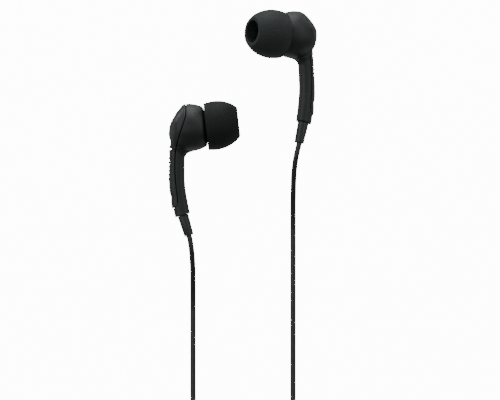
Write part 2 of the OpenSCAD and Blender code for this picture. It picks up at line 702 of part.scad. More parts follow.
plug_route = [[9.8, -141.8, 8], [10.6, -145, 6.9], [11.6, -148.2, 5.2], [12.3, -150.8, 3.7]];

module upper_cord(side) color("#161718") tube(concat(
  [relief_exit(side, 0), relief_exit(side, branch_d)],
  side == "left" ? left_route : right_route,
  [coil_start(coil_of(side), 2), coil_start(coil_of(side))]
), branch_d);

module cord_coil(side) color("#161718") wound(coil_of(side));

left_tie_at = 215;
right_tie_at = -35;
main_tie_at = 180;
module coil_tie(side) color("#303030") tie(coil_of(side), side == "left" ? left_tie_at : right_tie_at);

// ---- Y split: two cords in, one cord out

split_in = [0, -104, 1.6];
split_len = 10;
split_spread = 1.2;
function split_inlet(side) = split_in + [side == "left" ? -split_spread : split_spread, 0, 0];
split_out = split_in - [0, split_len, 0];
// stations along the split, as [share of the length, half width, half height]
split_stations = [
  [0, 2.1, 1.35], [0.05, 2.3, 1.55], [0.25, 2.4, 1.6], [0.5, 2.15, 1.6], [0.75, 1.7, 1.5],
  [0.95, 1.4, 1.35], [1, 1.25, 1.2]
];
function split_section(s) = [
  for (k = [0:15])
    let (a = 22.5 * k)
      split_in + [s[1] * soft(cos(a)), -split_len * s[0], s[2] * soft(sin(a))]
];
module y_split() color("#1c1d1e") loft([for (s = split_stations) split_section(s)]);

module lower_cord(side) color("#161718") tube(concat(
  [coil_end(coil_of(side)), coil_end(coil_of(side), 2)],
  side == "left" ? left_lower_route : right_lower_route,
  [split_inlet(side) + [0, branch_d, 0], split_inlet(side)]
), branch_d);

module main_cord() color("#161718") tube(concat(
  [split_out, split_out - [0, main_d, 0]], main_route,
  [coil_start(main_coil_wind, 2), coil_start(main_coil_wind)]
), main_d);

module main_coil() color("#161718") wound(main_coil_wind);

module main_tie() color("#303030") tie(main_coil_wind, main_tie_at);

// ---- Plug: z runs from the cord to the tip of the shaft

plug_in = [12.5, -155, grip_d / 2];
plug_pose = move(plug_in) * turn_x(90);
module in_plug() multmatrix(plug_pose) children();

module plug_tail() color("#161718") tube(concat(
  [coil_end(main_coil_wind), coil_end(main_coil_wind, 2)], plug_route, [plug_in + [0, main_d, 0], plug_in]
), main_d);

boot_end_d = 2.9;
boot_root_d = 4;
boot_groove = 0.3;
groove_count = 4;
module plug_strain_relief() color("#1b1c1d") in_plug() difference() {
  cylinder(d1 = boot_end_d, d2 = boot_root_d, h = boot_len);
  for (k = [1:groove_count]) {
    z = k * boot_len / (groove_count + 1);
    r = mix(boot_end_d, boot_root_d, z / boot_len) / 2;
    translate([0, 0, z]) rotate_extrude() translate([r - boot_groove, -0.3]) square([1, 0.6]);
  }
}

grip_round = 0.6;
grip_waist = 0.25;
shaft_step_d = 4.6;
shaft_step = 0.8;
module plug_grip() color("#202122") in_plug() translate([0, 0, boot_len]) rotate_extrude() polygon(concat(
  [[0, 0]],
  arc([grip_d / 2 - grip_round, grip_round], grip_round, -90, 0, 5),
  [
    for (k = [1:7])
      [grip_d / 2 - grip_waist * sin(22.5 * k), mix(grip_round, grip_len - 2 * grip_round, k / 8)]
  ],
  arc([grip_d / 2 - grip_round, grip_len - shaft_step - grip_round], grip_round, 0, 90, 5),
  [[shaft_step_d / 2, grip_len - shaft_step], [shaft_step_d / 2, grip_len], [0, grip_len]]
));

tip_contact_len = 4.4;
insulator_t = 0.6;
ring_len = 2.9;
sleeve_len = plug_len - tip_contact_len - ring_len - 2 * insulator_t;
core_r = 0.9;
shaft_start = boot_len + grip_len;
module shaft_ring(z, h) in_plug() translate([0, 0, shaft_start + z]) difference() {
  cylinder(d = plug_d, h = h);
  translate([0, 0, -1]) cylinder(r = core_r, h = h + 2);
}
module plug_sleeve() color("#d9c17a") shaft_ring(0, sleeve_len);
module plug_ring() color("#d9c17a") shaft_ring(sleeve_len + insulator_t, ring_len);
module plug_insulators() color("#111111") {
  shaft_ring(sleeve_len, insulator_t);
  shaft_ring(sleeve_len + insulator_t + ring_len, insulator_t);
}
module plug_tip() color("#d9c17a") in_plug() translate([0, 0, shaft_start]) rotate_extrude() {
  back = plug_len - tip_contact_len;
  polygon([
    [0, 0], [core_r, 0], [core_r, back], [plug_d / 2, back], [plug_d / 2, back + 0.5],
    [1.2, back + 1.4], [1.2, back + 1.7], [1.68, back + 2.7], [1.68, back + 2.9], [1, plug_len - 0.25],
    [0.6, plug_len], [0, plug_len]
  ]);
}

// ---- Everything in its place

module earbud_node(side, name) {
  if (name == "upper_cord") upper_cord(side);
  else if (name == "cord_coil") cord_coil(side);
  else if (name == "coil_tie") coil_tie(side);
  else if (name == "lower_cord") lower_cord(side);
  else multmatrix(pose(side)) {
    if (name == "ear_tip") ear_tip();
    if (name == "nozzle") nozzle();
    if (name == "front_housing") front_housing();
    if (name == "rear_cover") rear_cover();
    if (name == "nozzle_mesh") nozzle_mesh();
    if (name == "damper_foam") damper_foam();
    if (name == "driver_grille") driver_grille();
    if (name == "driver_frame") driver_frame();
    if (name == "diaphragm_surround") diaphragm_surround();
    if (name == "diaphragm_dome") diaphragm_dome();
    if (name == "voice_coil") voice_coil();
    if (name == "pole_plate") pole_plate();
    if (name == "magnet") magnet();
    if (name == "yoke") yoke();
    if (name == "vent_cloth") vent_cloth();
    if (name == "terminal_board") terminal_board();
    if (name == "lead_wires") lead_wires();
    if (name == "cord_clamp") cord_clamp();
    if (name == "strain_relief") strain_relief();
  }
}

for (side = SIDES, name = EARBUD_NODES)
  earbud_node(side, name);

y_split();
main_cord();
main_coil();
main_tie();
plug_tail();
plug_strain_relief();
plug_grip();
plug_sleeve();
plug_ring();
plug_tip();
plug_insulators();
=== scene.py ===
"""Wired earphones on a white table, photographed from straight above.

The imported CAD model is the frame. The housings, nozzles, silicone tips, strain reliefs, cords, ties, Y split
and plug are modelled finely here, in the CAD's own places; the loudspeaker parts inside are the CAD's.
Lengths are written in millimetres, as in part.scad, and turned into metres by MM.

Earbud frame: x runs forward to the ear, z runs up, the stem hangs down, and the origin is the middle of
the bowl. Nozzle frame: z runs out along the nozzle from the middle of the front face.
"""

import math
from functools import reduce

import bpy
import numpy as np
from mathutils import Matrix, Vector


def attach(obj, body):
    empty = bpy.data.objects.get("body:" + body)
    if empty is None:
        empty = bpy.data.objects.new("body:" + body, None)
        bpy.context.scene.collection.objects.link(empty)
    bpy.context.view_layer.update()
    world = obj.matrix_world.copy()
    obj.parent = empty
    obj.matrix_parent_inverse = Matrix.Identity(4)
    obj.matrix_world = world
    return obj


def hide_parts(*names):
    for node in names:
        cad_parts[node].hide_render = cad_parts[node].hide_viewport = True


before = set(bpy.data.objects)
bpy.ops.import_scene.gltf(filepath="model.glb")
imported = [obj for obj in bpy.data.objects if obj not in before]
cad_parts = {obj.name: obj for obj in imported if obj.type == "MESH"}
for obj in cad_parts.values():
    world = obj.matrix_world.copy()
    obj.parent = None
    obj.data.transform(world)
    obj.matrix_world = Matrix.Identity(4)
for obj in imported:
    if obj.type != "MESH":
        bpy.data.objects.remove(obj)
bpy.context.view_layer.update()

MM = 0.001
SIDES = ("left", "right")
ROOT = "earphones"


# ---- Sizes, as in part.scad

TIP_D = 11.8
TIP_LEN = 7.75
TIP_BASE_D = 11.3
TIP_CROWN = 2.2
TIP_BEAD_D = 7.5
TIP_WALL = 0.6
BEAD_LAP = 0.12
SLEEVE_WALL = 0.6
SLEEVE_PLAY = 0.05
WEB_BACK = 1.6

NOZZLE_TILT = 6.5
NOZZLE_Z = 0.3
NOZZLE_LEN = 5.2
NOZZLE_LIP_D = 5.5
NOZZLE_NECK_D = 4.9
NOZZLE_BORE_D = 3.6
LIP_LEN = 1
LIP_CONE = 0.35
MESH_SEAT_D = 4.2
MESH_T = 0.3
FLANGE_D = 7.6
FLANGE_T = 0.4
POCKET_DEPTH = 1.2
COLLAR_D = 6.8
COLLAR_T = 0.4

BOWL_D = 11.6
BOWL_CROWN_R = 7.6
FACE_X = 3.75
FACE_ROUND = 0.45
DOME_R = 4.75
DOME_BULGE = 0.1
CONE_SLOPE = math.radians(51)
SEAM_GAP = 0.16

STEM_DEPTH = 3.57
STEM_W = 3.35
STEM_FRONT_X = -1.53
STEM_BACK_X = STEM_FRONT_X - STEM_DEPTH
STEM_TOP_Z = 1.6
SOFT_SQUARE = 2.3
BEND_POINTS = [(-13, 0), (-15.5, 0.25), (-18, 0.66), (-20.5, 1.15), (-23.5, 1.85)]
# The stem's flare into the bowl: its radius, its height in front and at the sides, and where its arc stops
STEM_FILLET = 1.9
FILLET_H = 1.86
SIDE_FILLET_H = 1.7
FILLET_STOP = 0.4
# The stem's back leans forward above LEAN_Z
LEAN_Z = -1.2
LEAN = 0.075
# Below STEP_TOP_Z the rear cover stands out further back, by up to this over STEP_RUN
COVER_STEP = 0.3
STEP_TOP_Z = -14
STEP_RUN = 5.5
RIB_COUNT = 6
RIB_PITCH = 1.05
RIB_H = 0.16
RIB_W = 1.2
RIB_T = 0.5
RIB_TOP_Z = -7.4
VENT_DEPTH = 0.5
RECESS_Z = -3.8

RELIEF_TILT = 17
RELIEF_BASE = (-1.82, 0, -21.75)
RELIEF_LEN = 5.4
RELIEF_TOP_D = 2.4
RELIEF_END_D = 2.0
HEAD_R = 1.25
HEAD_LEN = 0.8
RELIEF_PLAY = 0.03
END_WALL = 0.8

BRANCH_D = 1.1
MAIN_D = 1.9
TURN_GAP = 0.45
TIE_T = 0.35
TIE_W = 2.5
TIE_PLAY = 0.25
TIE_SLACK = 0.05

PLUG_D = 3.5
PLUG_LEN = 14
GRIP_D = 6
GRIP_LEN = 13
BOOT_LEN = 9


# ---- Sizes of the visible housings that follow the photograph more closely than part.scad's

BOWL_MID = (-0.2, BOWL_D / 2 - BOWL_CROWN_R)
FACE_R = 4.85
DOME_TAPER = 0.01
DOME_SWELL = 2.85
# The sloping cut above the dome: the power of its ovals, and how far it stands proud
CUT_OVAL = 2.07
CUT_SKIN = 0.12
FILLET_Z = -7.95
VENT_Z = -5.35
VENT_H = 0.36
RECESS_R = 1.6
RECESS_DEPTH = 0.2
# Measured from the visible skin
WALL = 0.6
# The parting line, from the top: z and x
SEAM_POINTS = [
    (8, -1.1), (5.4, -1.05), (4, -0.98), (2.6, -1.1), (0.6, -1.72), (-2, -2.58), (-4.4, -3.25),
    (-6.1, -3.6), (-8.5, -3.75), (-11, -3.75), (-14.4, -3.5), (-16.8, -3.2), (-18.4, -3.05),
    (-19.35, -3.15), (-19.85, -3.55), (-20.2, -4.15), (-20.45, -4.8), (-20.85, -6),
]


# ---- Skins: how far visible surfaces stand proud of the CAD's faceted solids. The bright table eats about
# half a pixel, 0.1 mm, of each edge seen against it, and the skins make up for that.

# All round the housings, more on the bowl and dome, more on the stem's front, and at the stem's lower end
SKIN = 0.1
HEAD_SKIN = 0.07
STEM_SKIN = 0.1
END_SKIN = 0.2
# On the stem's back, by z
BACK_SWELL = [
    (-21, 0.08), (-18.4, 0.05), (-17.7, -0.07), (-17.1, -0.08), (-16.4, 0.1), (-15, 0.16), (-12, 0.08),
    (-10, 0), (-9, -0.08), (-7.6, -0.08), (-7, 0), (-2.3, 0), (-1.8, 0.12), (-1.2, 0.1), (-0.3, 0),
]
# On the silicone tips: all over, below their rims, and on their beads
TIP_SKIN = 0.21
RIM_SKIN = 0.2
BEAD_SWELL = 0.3
# How far each soft tip sags across its nozzle's axis, at its base and at its mouth
SAG = {"left": (0.14, -0.17), "right": (0.3, 0.3)}
# On the nozzle's collar, the strain relief and the part of each cord that the camera sees
COLLAR_SWELL = 0.2
RELIEF_SKIN = 0.2
CORD_SKIN = 0.155


move = Matrix.Translation


def turn(axis, degrees):
    return Matrix.Rotation(math.radians(degrees), 4, axis)


# Each earbud as it lies on the table
POSE = {
    "left": move((-13.08, -1.09, TIP_D / 2)) @ turn("X", -90),
    "right": move((12.82, 22.11, 5.87)) @ turn("Z", 2.5) @ turn("X", -91.2) @ turn("Z", -147.8),
}
NOZZLE = move((FACE_X, 0, NOZZLE_Z)) @ turn("Y", 90 - NOZZLE_TILT)
RELIEF = move(RELIEF_BASE) @ turn("Y", 180 - RELIEF_TILT)


# ---- Camera: straight above, long lens, the picture's up along +Y

IMAGE_W = 500
PIXELS_PER_MM = 4
# The picture's middle on the table
VIEW_X, VIEW_Y = 1.92, -19.19
FOCUS_Z = 6
CAMERA_AWAY = 1600
SENSOR_W = 36
# Metres
CLIP_START, CLIP_END = 0.05, 20


def link_object(name, data):
    thing = bpy.data.objects.new(name, data)
    bpy.context.collection.objects.link(thing)
    return thing


def make_camera():
    data = bpy.data.cameras.new("camera")
    data.sensor_width = SENSOR_W
    data.lens = SENSOR_W * CAMERA_AWAY / (IMAGE_W / PIXELS_PER_MM)
    data.clip_start, data.clip_end = CLIP_START, CLIP_END
    camera = link_object("camera", data)
    camera.location = Vector((VIEW_X, VIEW_Y, FOCUS_Z + CAMERA_AWAY)) * MM
    bpy.context.scene.camera = camera


# ---- Curves and profiles


def arc(centre, r, start, end, steps):
    """Points of a round arc in a plane, angles in degrees."""
    angles = np.radians(np.linspace(start, end, steps + 1))
    return [(centre[0] + r * math.cos(a), centre[1] + r * math.sin(a)) for a in angles]


def spline(points, steps):
    """A smooth curve through points, with the given number of steps between neighbours."""
    p = np.array(points, float)
    p = np.vstack([p[:1], p, p[-1:]])
    out = []
    for i in range(len(p) - 3):
        a, b, c, d = p[i:i + 4]
        m0, m1 = (c - a) / 2, (d - b) / 2
        for k in range(steps):
            t = k / steps
            out.append(
                (2 * t**3 - 3 * t**2 + 1) * b + (t**3 - 2 * t**2 + t) * m0
                + (3 * t**2 - 2 * t**3) * c + (t**3 - t**2) * m1
            )
    return np.array(out + [p[-2]])


def apply(matrix, points):
    m = np.array(matrix)
    return np.asarray(points, float) @ m[:3, :3].T + m[:3, 3]


# ---- Meshes


def make_piece(name, points, faces, body, material, replaced):
    """A smooth mesh piece from points in millimetres in the row frame."""
    mesh = bpy.data.meshes.new(name)
    mesh.from_pydata((np.asarray(points) * MM).tolist(), [], faces)
    mesh.materials.append(MATERIALS[material])
    mesh.shade_smooth()
    piece = link_object(name, mesh)
    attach(piece, body)
    if replaced:
        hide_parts(*replaced)
    return piece


def make_pair(name, pose, points, faces, material, node):
    """The same piece of both earbuds, from points in the posed frame within the earbud's."""
    for side in SIDES:
        placed = apply(POSE[side] @ pose, points)
        make_piece(f"{side}_{name}", placed, faces, ROOT, material, [f"{side}_{node}"])


ON_AXIS = 1e-6


def revolve(profile, segments):
    """Points and faces of a profile of (radius, z) turned about z. Points on the axis are shared."""
    points, rings = [], []
    angles = [2 * math.pi * k / segments for k in range(segments)]
    for r, z in profile:
        if r < ON_AXIS:
            rings.append([len(points)] * segments)
            points.append((0, 0, z))
            continue
        rings.append(list(range(len(points), len(points) + segments)))
        points += [(r * math.cos(a), r * math.sin(a), z) for a in angles]
    closed = profile[0][0] > ON_AXIS and profile[-1][0] > ON_AXIS
    pairs = list(zip(rings, rings[1:])) + ([(rings[-1], rings[0])] if closed else [])
    faces = []
    for a, b in pairs:
        for k in range(segments):
            face = [a[k], a[(k + 1) % segments], b[(k + 1) % segments], b[k]]
            face = [v for i, v in enumerate(face) if v not in face[:i]]
            if len(face) > 2:
                faces.append(face)
    return np.array(points, float), faces


# The most of an edge that rounding takes at one end
EDGE_SHARE = 0.45


def rounded(profile, r, steps=3):
    """The profile with its inner corners rounded by r, or by what its short edges allow."""
    out = [profile[0]]
    for a, b, c in zip(profile, profile[1:], profile[2:]):
        a, b, c = np.array([a, b, c], float)
        cut = min(r, EDGE_SHARE * np.linalg.norm(a - b), EDGE_SHARE * np.linalg.norm(c - b))
        start = b + (a - b) / np.linalg.norm(a - b) * cut
        end = b + (c - b) / np.linalg.norm(c - b) * cut
        for k in range(steps + 1):
            t = k / steps
            out.append(tuple((1 - t) ** 2 * start + 2 * t * (1 - t) * b + t**2 * end))
    return out + [profile[-1]]


def loft(rings):
    """Points and faces of a closed skin over rings of points, with a face at each end."""
    n = len(rings[0])
    faces = []
    for i in range(len(rings) - 1):
        for k in range(n):
            a, b = i * n + k, i * n + (k + 1) % n
            faces.append([a, b, b + n, a + n])
    last = (len(rings) - 1) * n
    faces.append(list(range(n))[::-1])
    faces.append([last + k for k in range(n)])
    return np.concatenate(rings), faces


def tube_rings(path, d, sides):
    """Rings of a round tube along a path, with a diameter at each point, turned as little as possible."""
    tangents = np.gradient(path, axis=0)
    tangents /= np.linalg.norm(tangents, axis=1)[:, None]
    up = np.array([0.0, 0.0, 1.0])
    rings = []
    for p, t, r in zip(path, tangents, d / 2):
        up = up - (up @ t) * t
        up /= np.linalg.norm(up)
        across = np.cross(t, up)
        angles = 2 * math.pi * (np.arange(sides) + 0.5) / sides
        rings.append(p + r * (np.cos(angles)[:, None] * up + np.sin(angles)[:, None] * across))
    return rings


# ---- Materials


def set_inputs(node, **values):
    """Constants for a node's inputs, whose names have _ for each space."""
    for name, value in values.items():
        node.inputs[name.replace("_", " ")].default_value = value


def add_node(tree, kind, **values):
    node = tree.nodes.new("ShaderNode" + kind)
    set_inputs(node, **values)
    return node


def new_material(name, **principled):
    """A material whose shader has the given constants, with its node tree and shader."""
    material = bpy.data.materials.new(name)
    material.use_nodes = True
    shader = material.node_tree.nodes["Principled BSDF"]
    set_inputs(shader, **principled)
    return material, material.node_tree, shader


def noise(tree, scale, detail=3):
    """A noise value over the surface, scale in cycles per millimetre."""
    place = add_node(tree, "TexCoord")
    node = add_node(tree, "TexNoise", Scale=scale / MM, Detail=detail)
    tree.links.new(place.outputs["Object"], node.inputs["Vector"])
    return node.outputs["Fac"]


def spread(tree, value, low, high):
    """The value spread over a range of numbers."""
    node = add_node(tree, "MapRange", From_Min=0.3, From_Max=0.7, To_Min=low, To_Max=high)
    tree.links.new(value, node.inputs["Value"])
    return node.outputs["Result"]


def shades(tree, value, dark, light, start=0.35, end=0.65):
    """A colour between dark and light by the value."""
    node = add_node(tree, "ValToRGB")
    for stop, at, colour in zip(node.color_ramp.elements, (start, end), (dark, light)):
        stop.position, stop.color = at, (*colour, 1)
    tree.links.new(value, node.inputs["Fac"])
    return node.outputs["Color"]


def bump(tree, shader, value, depth, under):
    """Relief of the given depth, in millimetres, over what another bump gives."""
    node = add_node(tree, "Bump", Distance=depth * MM)
    tree.links.new(value, node.inputs["Height"])
    if under is not None:
        tree.links.new(under, node.inputs["Normal"])
    tree.links.new(node.outputs["Normal"], shader.inputs["Normal"])
    return node.outputs["Normal"]


def surface(name, colour, gloss, grains, **principled):
    """A material with uneven colour and gloss over layers of grain, and what more nodes are linked to.

    colour is (cycles per millimetre, detail, dark, light) or None, gloss is (cycles, lowest and highest
    roughness), and each grain is (cycles, detail, depth in millimetres).
    """
    material, tree, shader = new_material(name, **principled)
    if colour:
        scale, detail, dark, light = colour
        tree.links.new(shades(tree, noise(tree, scale, detail), dark, light), shader.inputs["Base Color"])
    scale, low, high = gloss
    tree.links.new(spread(tree, noise(tree, scale), low, high), shader.inputs["Roughness"])
    under = None
    for scale, detail, depth in grains:
        under = bump(tree, shader, noise(tree, scale, detail), depth, under)
    return material, tree, shader, under


def moulded_plastic(name, dark, light, roughness):
    """Satin moulded plastic: a fine spark-eroded grain with slightly uneven gloss."""
    gloss = (1.4, roughness - 0.05, roughness + 0.05)
    grains = [(9, 4, 0.012), (0.5, 2, 0.005)]
    return surface(name, (0.35, 3, dark, light), gloss, grains, Specular_IOR_Level=0.45)[0]


def silicone(name, dark, light, level):
    """Soft matte silicone with a faint powdery grain."""
    grains = [(7, 5, 0.02), (1.1, 2, 0.03)]
    return surface(name, (2.2, 5, dark, light), (3, 0.52, 0.64), grains, Specular_IOR_Level=level)[0]


def metal(name, dark, light, roughness):
    """Plated or brushed metal with fine marks."""
    gloss = (4, roughness - 0.05, roughness + 0.08)
    return surface(name, (1.2, 3, dark, light), gloss, [(12, 2, 0.004)], Metallic=1.0)[0]


def plain_grain(name, dark, light, roughness, cycles, depth):
    """A diffuse material with a grain of the given cycles per millimetre."""
    gloss = (cycles / 2, roughness - 0.06, roughness + 0.06)
    grains = [(cycles * 2, 3, depth)]
    return surface(name, (cycles, 3, dark, light), gloss, grains, Specular_IOR_Level=0.3)[0]


# Blender's diagonal wave repeats each 2 pi / (20 x its scale) along the sum of its coordinates, so this
# scale makes one repeat a unit of that sum
WAVE_UNIT = 2 * math.pi / 20
STRANDS = 2


def cord_rubber(name, twist):
    """Cord jacket: rubber drawn tight over twisted strands.

    UV runs along the cord in millimetres and once round it. The wave has a crest round the cord for each
    strand, and one more along it for each twist.
    """
    grains = [(8, 3, 0.006)]
    material, tree, shader, fine = surface(name, None, (2, 0.3, 0.42), grains, Specular_IOR_Level=0.5)
    place = add_node(tree, "UVMap")
    stretch = add_node(tree, "Mapping", Scale=(1 / twist, STRANDS, 1))
    wave = add_node(tree, "TexWave", Scale=WAVE_UNIT)
    wave.bands_direction = "DIAGONAL"
    tree.links.new(place.outputs["UV"], stretch.inputs["Vector"])
    tree.links.new(stretch.outputs["Vector"], wave.inputs["Vector"])
    # The rubber's colour follows the wave: painted shade in the grooves between the strands and painted light
    # on their crests.
    colour = shades(tree, wave.outputs["Fac"], (0.0095, 0.01, 0.0103), (0.0145, 0.0155, 0.016), 0.1, 0.9)
    tree.links.new(colour, shader.inputs["Base Color"])
    bump(tree, shader, wave.outputs["Fac"], 0.03, fine)
    return material


def make_materials():
    return {
        "housing": moulded_plastic(
            "housing plastic", (0.0081, 0.0092, 0.0095), (0.0091, 0.0103, 0.0107), 0.42
        ),
        # The two tips share one silicone. The right tip's colour is painted lighter and the left tip's darker,
        # as painted light and painted shade for how each tip is lit.
        "left_silicone": silicone("silicone", (0.0068, 0.0078, 0.0078), (0.0098, 0.011, 0.011), 0.2),
        "right_silicone": silicone("silicone with painted light", (0.0135, 0.015, 0.015), (0.018, 0.0198, 0.0198), 0.3),
        "relief": moulded_plastic("relief rubber", (0.0135, 0.015, 0.0152), (0.0165, 0.0182, 0.0185), 0.3),
        "branch": cord_rubber("branch cord rubber", 1.3),
        "main": cord_rubber("main cord rubber", 2.2),
        "tie": moulded_plastic("tie plastic", (0.03,) * 3, (0.045,) * 3, 0.55),
        "contact": metal("gold plating", (0.85, 0.66, 0.3), (0.93, 0.76, 0.4), 0.2),
        "insulator": moulded_plastic("insulator plastic", (0.01,) * 3, (0.014,) * 3, 0.25),
        "steel": metal("pressed steel", (0.5, 0.51, 0.52), (0.62, 0.63, 0.64), 0.35),
        "nickel": metal("nickel plating", (0.6, 0.6, 0.58), (0.7, 0.7, 0.68), 0.22),
        "foam": plain_grain("damper foam", (0.05, 0.05, 0.055), (0.12, 0.12, 0.125), 0.9, 5, 0.08),
        "cloth": plain_grain("vent cloth", (0.6, 0.6, 0.57), (0.8, 0.8, 0.77), 0.85, 6, 0.04),
        "film": moulded_plastic("diaphragm film", (0.6, 0.54, 0.4), (0.72, 0.66, 0.5), 0.4),
        "copper": metal("enamelled copper", (0.6, 0.28, 0.14), (0.74, 0.38, 0.2), 0.3),
        "board": plain_grain("board", (0.03, 0.12, 0.05), (0.05, 0.17, 0.07), 0.4, 3, 0.01),
        "moulding": moulded_plastic("frame moulding", (0.04, 0.042, 0.045), (0.055, 0.058, 0.06), 0.5),
    }


MATERIALS = make_materials()
# The materials of the CAD's own solids that stay
INNER = {
    "nozzle_mesh": "steel", "damper_foam": "foam", "driver_grille": "steel",
    "driver_frame": "moulding", "diaphragm_surround": "film", "diaphragm_dome": "film",
    "voice_coil": "copper", "pole_plate": "steel", "magnet": "nickel", "yoke": "steel",
    "vent_cloth": "cloth", "terminal_board": "board", "lead_wires": "copper", "cord_clamp": "steel",
}


def finish_inner_parts():
    """The CAD's own loudspeaker parts get their materials."""
    for side in SIDES:
        for part, material in INNER.items():
            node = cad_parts[f"{side}_{part}"]
            node.data.materials.clear()
            node.data.materials.append(MATERIALS[material])


# ---- Cord routes: the points that part.scad's cords follow


def smooth_step(value, start, end):
    t = np.clip((value - start) / (end - start), 0, 1)
    return t * t * (3 - 2 * t)


# A coil climbs to its next layer from this many turns before the change to as many after it
CLIMB = 0.25
RINGS_PER_LOOP = 36


class Coil:
    """A cord wound in and out again, layer on layer, as in part.scad."""

    def __init__(self, loops, layers, d, mean_d, middle, start, way, tie_at):
        self.loops, self.layers, self.d, self.middle = loops, layers, d, middle
        self.start, self.way, self.mean_d, self.tie_at = start, way, mean_d, tie_at
        self.pitch = d + TURN_GAP
        self.outer = mean_d / 2 + loops / layers * self.pitch / 2

    def point(self, turns):
        """The place after so many turns."""
        per_layer = self.loops / self.layers
        phase = turns / per_layer
        fold = abs(phase - 2 * math.floor(phase / 2 + 0.5))
        r = self.outer - fold * per_layer * self.pitch
        climb = sum(smooth_step(turns - k * per_layer, -CLIMB, CLIMB) for k in range(1, self.layers))
        z = TIE_T + TIE_SLACK + self.d / 2 + climb * self.pitch
        a = math.radians(self.start + self.way * 360 * turns)
        return np.array((self.middle[0] + r * math.cos(a), self.middle[1] + r * math.sin(a), z))

    def heading(self, turns):
        a = math.radians(self.start + self.way * (360 * turns + 90))
        return np.array((math.cos(a), math.sin(a), 0))

    def path(self):
        turns = np.linspace(0, self.loops, round(self.loops * RINGS_PER_LOOP) + 1)
        return [self.point(t) for t in turns]

    def entry(self, diameters):
        return self.point(0) - diameters * self.d * self.heading(0)

    def exit(self, diameters):
        return self.point(self.loops) + diameters * self.d * self.heading(self.loops)


COILS = {
    "left": Coil(
        loops=5.25, layers=2, d=BRANCH_D, mean_d=13.2, middle=(-10.4, -87), start=180, way=1, tie_at=215
    ),
    "right": Coil(
        loops=5.25, layers=2, d=BRANCH_D, mean_d=12, middle=(10.4, -87), start=0, way=-1, tie_at=-35
    ),
    "main": Coil(
        loops=12, layers=4, d=MAIN_D, mean_d=22, middle=(-5, -134.5), start=0, way=-1, tie_at=180
    ),
}


def on_table(x, first, last):
    """Points of a branch that lies straight along y on the table, 3 mm apart."""
    return [(x, y, BRANCH_D / 2) for y in range(first, last - 1, -3)]


UPPER_ROUTE = {
    "left": [
        (-12.7, -31, 5.7), (-12.5, -33, 5.2), (-12.35, -35.5, 4.3), (-12.3, -38, 3.2), (-12.3, -40.5, 2.2),
        (-12.3, -43, 1.4), (-12.3, -46, 0.8), *on_table(-12.3, -49, -70), (-12.8, -73, 0.6),
        (-14.4, -76.2, 0.7), (-16.8, -79, 0.8), (-18.5, -81.8, 0.9),
    ],
    "right": [
        (13.45, -8, 6.4), (13.1, -10.2, 5.9), (12.85, -12.6, 5.1), (12.75, -15, 4.2), (12.7, -17.5, 3.3),
        (12.65, -20, 2.4), (12.65, -23, 1.5), (12.65, -26, 0.85), *on_table(12.65, -29, -68),
        (12.7, -71, 0.55), (13.3, -74, 0.6), (14.9, -76.8, 0.7), (17, -79.4, 0.8), (18.2, -82, 0.9),
    ],
}
LOWER_ROUTE = {
    "left": [(-6.8, -95.9, 2.5), (-4.4, -97, 2.3), (-2.6, -98.9, 2), (-1.6, -101, 1.7)],
    "right": [(7, -95.3, 2.5), (4.5, -96.5, 2.3), (2.6, -98.6, 2), (1.6, -101, 1.7)],
}
MAIN_ROUTE = [(1.3, -118.2, 1.6), (5.2, -120.35, 1.5), (8.3, -123.4, 1.4), (9.4, -127, 1.4)]
PLUG_ROUTE = [(9.8, -141.8, 8), (10.6, -145, 6.9), (11.6, -148.2, 5.2), (12.3, -150.8, 3.7)]
SPLIT_IN = np.array((0, -104, 1.6))
SPLIT_LEN = 10
SPLIT_SPREAD = 1.2
PLUG_IN = np.array((12.5, -155, GRIP_D / 2))
SOUTH = np.array((0, -1, 0))
ROUTE_STEPS = 4
# How far each cord reaches into what holds its ends
HIDDEN = 1.2
# A branch's skin tapers off over SKIN_FADE down to this y, below the picture's lower edge
SKIN_END_Y = -78
SKIN_FADE = 5
# How far a branch's seen stretch lies beside its route, which keeps its edges off the pixels' middles
SEEN_SHIFT = {"left_cord": -0.08, "right_cord": 0.06}


def relief_point(side, ahead):
    """A point on the strain relief's axis, ahead of its end."""
    return apply(POSE[side] @ RELIEF, [(0, 0, RELIEF_LEN + ahead)])[0]


def wound_path(start, first, coil, last, end):
    """A cord's path along two routes with a coil between them, from inside one holder into another."""
    return np.vstack([
        [start], spline([*first, coil.entry(2)], ROUTE_STEPS), [coil.entry(1)],
        coil.path(), [coil.exit(1)], spline([coil.exit(2), *last], ROUTE_STEPS), [end],
    ])


def branch_path(side):
    inlet = SPLIT_IN + (-SPLIT_SPREAD if side == "left" else SPLIT_SPREAD, 0, 0)
    upper = [relief_point(side, 0), relief_point(side, BRANCH_D), *UPPER_ROUTE[side]]
    lower = [*LOWER_ROUTE[side], inlet - BRANCH_D * SOUTH, inlet]
    start, end = relief_point(side, -HIDDEN), inlet + HIDDEN * SOUTH
    return wound_path(start, upper, COILS[side], lower, end)


def main_path():
    outlet = SPLIT_IN + SPLIT_LEN * SOUTH
    first = [outlet, outlet + MAIN_D * SOUTH, *MAIN_ROUTE]
    last = [*PLUG_ROUTE, PLUG_IN - MAIN_D * SOUTH, PLUG_IN]
    start, end = outlet - HIDDEN * SOUTH, PLUG_IN + HIDDEN * SOUTH
    return wound_path(start, first, COILS["main"], last, end)


def lengths(path):
    """The length along the path up to each of its points."""
    return np.concatenate([[0], np.cumsum(np.linalg.norm(np.diff(path, axis=0), axis=1))])


